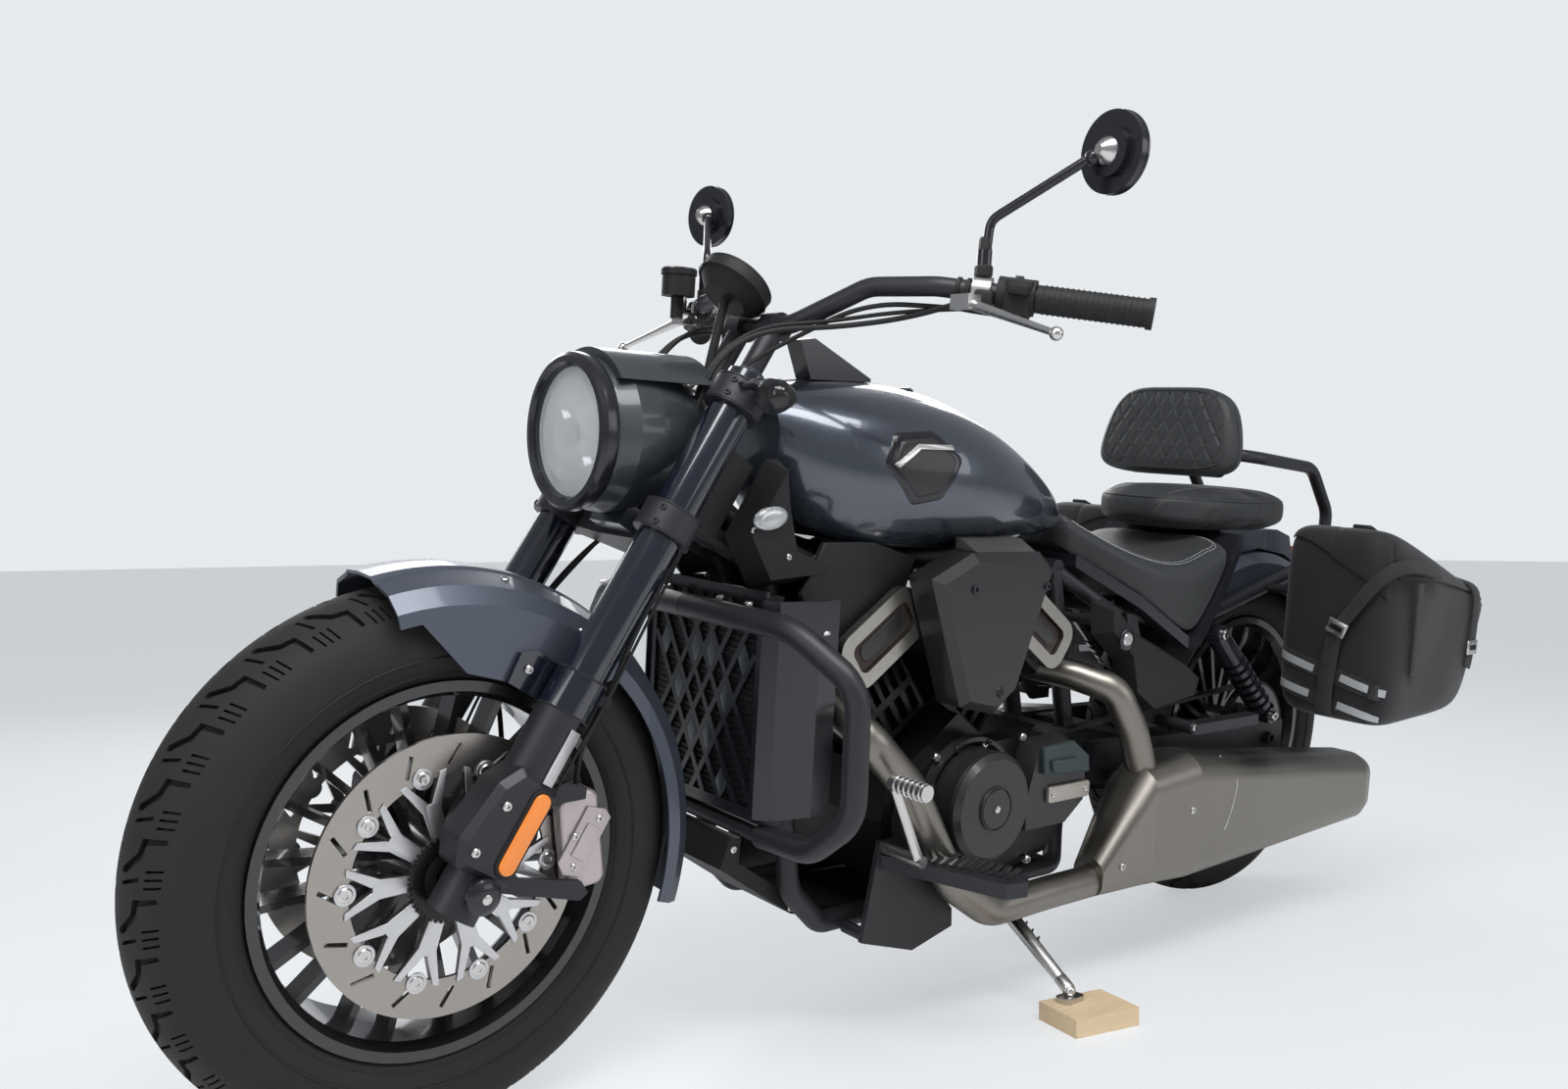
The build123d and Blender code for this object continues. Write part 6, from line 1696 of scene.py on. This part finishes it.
    def strap(self, line: Sequence[Vector], width: float, across: Vector, thick: float = 2.4) -> Solid:
        """Flat webbing along a line.

        Args:
            line: its route.
            width: its width.
            across: the way its width runs.
            thick: its thickness.

        Returns:
            The strap.
        """
        points = Bench.spread(line, 8)
        loops = []
        for i, p in enumerate(points):
            way = (points[min(i + 1, len(points) - 1)] - points[max(i - 1, 0)]).normalized()
            side = (across - way * across.dot(way)).normalized() * width / 2
            lift = way.cross(side).normalized() * thick / 2
            loops.append([p + side + lift, p - side + lift, p - side - lift, p + side - lift])
        return Bench.bevel(Bench.loft(loops), 0.5, 1)

    def straps(self) -> None:
        """Builds the straps with their buckles."""
        front = [Vector((-701, 284, 402)), Vector((-700, 284, 450)), Vector((-699, 290, 520)), Vector((-697, 298, 560))]
        edge = [Vector((-697, 300, 556)), Vector((-698, 322, 590)), Vector((-701, 345, 625)), Vector((-712, 368, 655)),
                Vector((-745, 385, 668)), Vector((-800, 392, 664)), Vector((-860, 393, 655))]
        outer = [Vector((-1000, 300, 642)), Vector((-1004, 352, 638)), Vector((-1008, 386, 620)), Vector((-1004, 391, 560)),
                 Vector((-996, 391, 500)), Vector((-990, 389, 470))]
        second = [Vector((-780, 393, 640)), Vector((-782, 393, 560)), Vector((-786, 391, 500)), Vector((-788, 389, 470))]
        pieces = [self.strap(front, 26, Vector((0, 1, 0.0))), self.strap(edge, 24, Vector((0.2, 0.4, -0.9))),
                  self.strap(outer, 26, Vector((1, 0, 0))), self.strap(second, 22, Vector((1, 0, 0)))]
        self.shop.piece(Bench.both(Bench.join(pieces, "straps")), "bag_straps", Finishes.webbing, smooth=50)
        buckles = []
        for middle, turn in (((-694, 298, 556), (20, 0, 90)), ((-996, 394, 520), (0, 4, 0))):
            outer_bar = Bench.block((36, 5, 26), (0, 0, 0), bevel=2)
            hole = Bench.block((24, 12, 9), (0, 0, 0))
            buckle = Bench.cut(outer_bar, hole)
            buckle.data.transform(Matrix.Translation(Vector(middle) * MM)
                                  @ Matrix.Rotation(math.radians(turn[2]), 4, "Z") @ Matrix.Rotation(math.radians(turn[0]), 4, "Y"))
            buckles.append(buckle)
        self.shop.piece(Bench.both(Bench.join(buckles, "buckles")), "bag_buckles", Finishes.bright)
        clips = []
        for x, y, size in ((-800, 250, (40, 26, 10)), (-760, 300, (30, 34, 8)), (-900, 250, (44, 22, 8))):
            top = self.shop.drop("saddlebag_left_shell", x, y) or 680
            clips.append(Bench.block(size, (x, y, top + 4), (0, -20, 0), 3))
        self.shop.piece(Bench.both(Bench.join(clips, "clips")), "bag_top_clips", Finishes.plastic)


@dataclass
class EngineDress:
    """Covers, bezels, bolts and plates on the engine."""

    shop: Shop
    crank: tuple[float, float] = (40.0, 330.0)
    bank: float = 35.0

    def build(self) -> None:
        """Builds the engine's dress."""
        shop = self.shop
        cap = Bench.plate([(137, 681.4), (137, 699), (152, 697), (180, 681.4)], 124,
                          Bench.at((21, 0, 0), (0, 1, 0), (0, 0, 1)), 1.5)
        shop.piece(Bench.both(cap), "air_cover_crests", Finishes.crest)
        bolts = Bench.bolts([(96, 191.8, 632), (-56, 191.8, 632)], (0, 1, 0), 6, 4)
        shop.piece(Bench.both(bolts), "air_cover_bolts", Finishes.gloss)
        hole = Bench.lathe([(0.2, 0.01), (0.4, 5), (1.4, 7), (0.2, 8)], (30, 191.8, 484), (0, 1, 0), 24)
        shop.piece(Bench.both(hole), "air_cover_plugs", Finishes.engine)
        ring = [Bench.lathe([(0, 82), (8, 82), (12, 86), (12, 92), (0, 94), (0, 82)], (40, 149.6, 322), (0, 1, 0), 72),
                Bench.lathe([(-1, 29.5), (3.4, 30), (3.4, 31.5), (-1, 32.5), (-1, 29.5)], (40, 207.3, 322), (0, 1, 0), 48),
                Bench.lathe([(0, 76), (1.4, 78), (3, 78.6), (0, 79.4), (0, 76)], (40, 195, 322), (0, 1, 0), 72)]
        shop.piece(Bench.join(ring, "ring"), "alternator_rings", Finishes.cover)
        dot = Bench.lathe([(0, 6), (2, 6), (3, 4.4), (3, 0.01)], (40, 210.2, 322), (0, 1, 0), 6)
        shop.piece(dot, "alternator_plug", Finishes.bright)
        rim = [(40 + 88 * math.cos(math.radians(a)), 161, 322 + 88 * math.sin(math.radians(a)))
               for a in (20, 65, 110, 155, 200, 245, 290, 335)]
        shop.piece(Bench.bolts(rim, (0, 1, 0), 4.4, 4), "alternator_bolts", Finishes.frame)
        self.bezels()
        self.gearbox()
        nuts = [(-70, 152, 402), (14, 152, 402), (112, 152, 392), (-100, 152, 212), (-130, 152, 440)]
        shop.piece(Bench.bolts([n for n in nuts[:4]], (0, 1, 0), 6.5, 7), "case_bolts", Finishes.bright)

    def bezels(self) -> None:
        """Fills each bezel with a recessed panel and its line of light."""
        panels, lines = [], []
        for way in (1, -1):
            turn = math.radians(self.bank) * way
            up = Vector((math.sin(turn), 0, math.cos(turn)))
            across = Vector((up.z, 0, -up.x))
            middle = Vector((self.crank[0], 0, self.crank[1])) + up * 284
            plane = Bench.at(middle + Vector((0, 122, 0)), across, up)
            loop = self.rounded(57.6, 21.6, 11)
            panels.append(Bench.plate(loop, 7, plane, 1.5))
            slot = self.rounded(44, 12, 10)
            lines.append(Bench.plate(slot, 3, Bench.at(middle + Vector((0, 126, 0)), across, up), 1))
        self.shop.piece(Bench.both(Bench.join(panels, "panels")), "bezel_panels", Finishes.recess)
        self.shop.piece(Bench.both(Bench.join(lines, "lines")), "bezel_insets", Finishes.cover)

    @staticmethod
    def rounded(half: float, high: float, radius: float) -> list[tuple[float, float]]:
        """Rounded rectangle as corners round its middle."""
        loop = []
        for cx, cy, start in ((half - radius, high - radius, 0), (radius - half, high - radius, 90),
                              (radius - half, radius - high, 180), (half - radius, radius - high, 270)):
            for i in range(7):
                a = math.radians(start + 15 * i)
                loop.append((cx + radius * math.cos(a), cy + radius * math.sin(a)))
        return loop

    def gearbox(self) -> None:
        """Builds the sprocket cover's faceted cap and its light plate."""
        cap = Bench.plate([(-78, 392), (-148, 396), (-186, 370), (-190, 344), (-120, 346), (-84, 352)], 10, Bench.side(187), 3)
        step = Bench.plate([(-92, 372), (-150, 372), (-178, 350), (-120, 350), (-96, 356)], 8, Bench.side(194), 3)
        self.shop.piece(Bench.join([cap, step], "cap"), "sprocket_cap", Finishes.gearbox)
        loop = [(x - 146, z + 318) for x, z in self.rounded(48, 12.5, 6)]
        plate = Bench.plate(loop, 7, Bench.side(187), 1.5)
        self.shop.piece(plate, "sprocket_plate", Finishes.plate)
        self.shop.piece(Bench.bolts([(-108, 190.4, 318), (-184, 190.4, 318)], (0, 1, 0), 4, 2.4), "sprocket_plate_bolts",
                        Finishes.bright)


@dataclass
class Trim:
    """Small trim: radiator core, guard inserts, locks, screws and seams."""

    shop: Shop
    fork: Fork = field(default_factory=Fork)

    def build(self) -> None:
        """Builds the trim."""
        shop = self.shop
        slats = [Bench.block((3, 214, 1.4), (405, 0, 352 + i * 8.2)) for i in range(33)]
        shop.piece(Bench.join(slats, "slats"), "radiator_fins", Finishes.engine)
        gems = []
        for k, m in ((1, 2), (-1, 2), (3, 0), (-3, 0), (1, -2), (-1, -2), (3, 4), (-3, 4), (5, 2), (-5, 2), (3, -4), (-3, -4)):
            y, z = 17.5 * k, 482 + 28 * m
            loop = [(y, z + 21), (y + 12, z), (y, z - 21), (y - 12, z)]
            gems.append(Bench.plate(loop, 4, Bench.at((407.5, 0, 0), (0, 1, 0), (0, 0, 1)), 1))
        shop.piece(Bench.join(gems, "gems"), "guard_diamonds", Finishes.nacelle)
        lock = shop.skin("side_covers", -291, 538)
        seat = Bench.lathe([(-2, 17.5), (2.5, 17.5), (4, 15), (4, 11), (-2, 11), (-2, 17.5)], lock, (0, 1, 0), 32)
        shop.piece(Bench.both(seat), "lock_seats", Finishes.gloss)
        barrel = Bench.lathe([(-2, 11), (4, 11), (6, 9), (6, 2.4), (4, 2.2), (4, 0.01)], lock, (0, 1, 0), 28)
        shop.piece(Bench.both(barrel), "cover_locks", Finishes.bright)
        spots = [shop.skin("mufflers", -386, 271), shop.skin("mufflers", -240, 197), shop.skin("mufflers", -232, 290)]
        shop.piece(Bench.both(Bench.bolts([s - Vector((0, 1, 0)) for s in spots if s], (0, 1, 0), 6, 3.4)), "muffler_screws",
                   Finishes.bright)
        arc = []
        for x, z in ((-486, 343), (-502, 326), (-508, 306), (-504, 280), (-494, 250), (-480, 226)):
            spot = shop.skin("mufflers", x, z)
            if spot:
                arc.append(spot + Vector((0, 0.1, 0)))
        shop.piece(Bench.both(Bench.hose(arc, 1.1)), "muffler_seams", Finishes.bright)
        tops = []
        for x, y in ((731, 50), (648, 85)):
            z = shop.drop("front_fender", x, y)
            if z:
                tops.append((x, y, z - 0.6))
        if tops:
            shop.piece(Bench.both(Bench.bolts(tops, (0.1, 0.35, 1), 5, 3)), "fender_bolts", Finishes.bright, Body.FRONT_END)
        neck = []
        for x, z in ((306, 668), (364, 672), (420, 706)):
            spot = shop.skin("neck_covers", x, z)
            if spot:
                neck.append(spot - Vector((0, 0.6, 0)))
        shop.piece(Bench.both(Bench.bolts(neck, (0, 1, 0), 4.5, 3)), "neck_bolts", Finishes.bright)
        filler = Bench.plate([(336, 622), (300, 690), (210, 690), (130, 668), (150, 610), (214, 548), (300, 548)], 10,
                             Bench.side(104), 3)
        shop.piece(Bench.both(filler), "neck_fillers", Finishes.plastic)
        cheek = ForkDress(shop).slab([(492, -104), (492, -62), (608, -58), (608, -104)], 66, 8, 2)
        shop.piece(Bench.both(cheek), "neck_cheeks", Finishes.plastic)
        pivot, ankle = Vector((-75, 130, 142)), Vector((-50, 289.8, 68.2))
        way = (ankle - pivot).normalized()
        legs = [Bench.rod(pivot + way * 18, ankle - way * 6, 12, 9, 10, 2), Bench.rod(ankle - way * 24, ankle, 9.6, 10, 12, 2)]
        shop.piece(Bench.join(legs, "leg"), "stand_leg_casting", Finishes.bright, Body.SIDE_STAND)
        spring = Bench.hose([pivot + way * (22 + i * 3.2) + Vector((-16 + 4.5 * math.sin(i * 1.3), 0, 4.5 * math.cos(i * 1.3)))
                             for i in range(22)], 1.5)
        shop.piece(spring, "stand_spring", Finishes.frame, Body.SIDE_STAND)
        shock = Bench.bolts([(-572, 163, 530), (-752, 163, 372)], (0, 1, 0), 9, 7)
        shop.piece(Bench.both(shock), "shock_bolts", Finishes.bright)
        pegs = Bench.bolts([(-452, 196, 387)], (0, 1, 0), 7, 5)
        shop.piece(Bench.both(pegs), "peg_bolts", Finishes.bright)
        ribs = [Bench.block((5, 16, 2), (-470 - i * 14, 190, 394)) for i in range(11)]
        shop.piece(Bench.both(Bench.join(ribs, "ribs")), "peg_ribs", Finishes.rubber)
        treads = [Bench.block((64 - i * 2, 6, 3), (152 - i * 4.4, 200 + i * 12, 271), (0, 0, 24)) for i in range(10)]
        shop.piece(Bench.both(Bench.join(treads, "treads")), "footboard_treads", Finishes.rubber)
        toe = [Bench.lathe([(-1.5, 10.8), (0, 12.6), (1.5, 10.8), (-1.5, 10.8)], (262, 236 + i * 9, 392), (0, 1, 0), 24)
               for i in range(6)]
        shop.piece(Bench.both(Bench.join(toe, "toe")), "toe_peg_ribs", Finishes.bright)
        bar = Bench.bolts([(430, 120, 614), (430, 60, 614), (414, 250, 596)], (0.2, 0, 1), 5.5, 4)
        shop.piece(Bench.both(bar), "crash_bar_bolts", Finishes.bright)
        pan = [shop.skin("belly_pan", 404, 286), shop.skin("belly_pan", 300, 188), shop.skin("belly_pan", 120, 148)]
        pan = [p - Vector((0, 0.6, 0)) for p in pan if p]
        if pan:
            shop.piece(Bench.both(Bench.bolts(pan, (0, 1, 0), 5, 3)), "belly_bolts", Finishes.bright)


@dataclass
class Studio:
    """Floor, soft lights, pale world and the camera."""

    position: Vector = field(default_factory=lambda: Vector((1.4556962, 1.3721608, 0.6877432)))
    yaw: float = 4.024739068
    pitch: float = -0.007669912
    roll: float = -0.005119387
    focal: float = 30.083

    def build(self) -> None:
        """Sets the scene round the machine."""
        self.floor()
        self.world()
        self.lamps()
        self.camera()
        bpy.context.scene.view_settings.view_transform = "Standard"

    def floor(self) -> None:
        """Lays the pale floor."""
        Bench.clear()
        bpy.ops.mesh.primitive_plane_add(size=60, location=(0, 0, 0))
        floor = Bench.settle(bpy.context.object)
        floor.name = "studio_floor"
        material = Finishes.floor.material()
        tree = material.node_tree
        glow = tree.nodes.new("ShaderNodeEmission")
        glow.inputs["Color"].default_value = (0.80, 0.825, 0.85, 1)
        path = tree.nodes.new("ShaderNodeLightPath")
        share = tree.nodes.new("ShaderNodeMath")
        share.operation = "MULTIPLY"
        share.inputs[1].default_value = 0.62
        mix = tree.nodes.new("ShaderNodeMixShader")
        tree.links.new(path.outputs["Is Camera Ray"], share.inputs[0])
        tree.links.new(share.outputs["Value"], mix.inputs["Fac"])
        tree.links.new(tree.nodes["Principled BSDF"].outputs["BSDF"], mix.inputs[1])
        tree.links.new(glow.outputs["Emission"], mix.inputs[2])
        tree.links.new(mix.outputs["Shader"], tree.nodes["Material Output"].inputs["Surface"])
        floor.data.materials.append(material)

    def world(self) -> None:
        """Lights the room softly and shows a pale background to the camera."""
        world = bpy.data.worlds.new("studio")
        bpy.context.scene.world = world
        world.use_nodes = True
        tree = world.node_tree
        out = tree.nodes["World Output"]
        ambient = tree.nodes["Background"]
        ambient.inputs["Color"].default_value = (0.86, 0.90, 0.96, 1)
        ambient.inputs["Strength"].default_value = 0.36
        shown = tree.nodes.new("ShaderNodeBackground")
        shown.inputs["Color"].default_value = (0.80, 0.825, 0.85, 1)
        path = tree.nodes.new("ShaderNodeLightPath")
        mix = tree.nodes.new("ShaderNodeMixShader")
        tree.links.new(path.outputs["Is Camera Ray"], mix.inputs["Fac"])
        tree.links.new(ambient.outputs["Background"], mix.inputs[1])
        tree.links.new(shown.outputs["Background"], mix.inputs[2])
        tree.links.new(mix.outputs["Shader"], out.inputs["Surface"])

    def lamps(self) -> None:
        """Hangs three soft panels."""
        for name, place, target, size, power in (
                ("key_panel", (1.0, 1.6, 3.2), (0, 0, 0.5), (3.2, 1.2), 125),
                ("side_panel", (-1.6, 3.4, 1.6), (-0.2, 0, 0.5), (2.6, 1.6), 26),
                ("rear_panel", (-1.2, -2.8, 2.2), (0, 0, 0.7), (4.2, 1.3), 75),
                ("front_panel", (4.2, 0.6, 2.0), (0.4, 0, 0.6), (1.8, 1.8), 32)):
            data = bpy.data.lights.new(name, "AREA")
            data.shape = "RECTANGLE"
            data.size, data.size_y = size
            data.energy = power
            lamp = bpy.data.objects.new(name, data)
            lamp.location = place
            lamp.rotation_euler = (Vector(target) - Vector(place)).to_track_quat("-Z", "Y").to_euler()
            bpy.context.scene.collection.objects.link(lamp)

    def camera(self) -> None:
        """Sets the camera at the photograph's place."""
        cy, sy = math.cos(self.yaw), math.sin(self.yaw)
        cp, sp = math.cos(self.pitch), math.sin(self.pitch)
        ahead = Vector((cy * cp, sy * cp, sp))
        right = ahead.cross(Vector((0, 0, 1))).normalized()
        up = right.cross(ahead)
        cr, sr = math.cos(self.roll), math.sin(self.roll)
        right, up = right * cr + up * sr, up * cr - right * sr
        data = bpy.data.cameras.new("viewpoint")
        data.lens = self.focal
        data.sensor_width = 36
        data.sensor_fit = "HORIZONTAL"
        data.clip_start = 0.01
        data.clip_end = 200
        camera = bpy.data.objects.new("viewpoint", data)
        camera.matrix_world = Matrix.Translation(self.position) @ Matrix((right, up, -ahead)).transposed().to_4x4()
        bpy.context.scene.collection.objects.link(camera)
        bpy.context.scene.camera = camera


def main() -> None:
    """Builds the dressed machine."""
    logging.basicConfig(level=logging.INFO, format="%(name)s: %(message)s")
    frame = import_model()
    shop = Shop(Stance().matrix(frame["joints"]), frame["nodes"])
    shop.dress_nodes()
    Wheel(shop, "front_tyre", Body.FRONT_WHEEL, 800.0).build()
    Wheel(shop, "rear_tyre", Body.REAR_WHEEL, -800.0).build()
    Rotor(shop, "front_rotor", Body.FRONT_WHEEL, 800.0, 160.0, (Side.LEFT, Side.RIGHT)).build()
    Rotor(shop, "rear_rotor", Body.REAR_WHEEL, -800.0, 130.0, (Side.RIGHT,)).build()
    ForkDress(shop).build()
    Headlamp(shop).build()
    Signals(shop).build()
    Cockpit(shop).build()
    TankDress(shop).build()
    Padding(shop).build()
    Luggage(shop).build()
    EngineDress(shop).build()
    Trim(shop).build()
    Studio().build()
    LOG.info("%d pieces in all", shop.count)


if __name__ == "__main__":
    main()
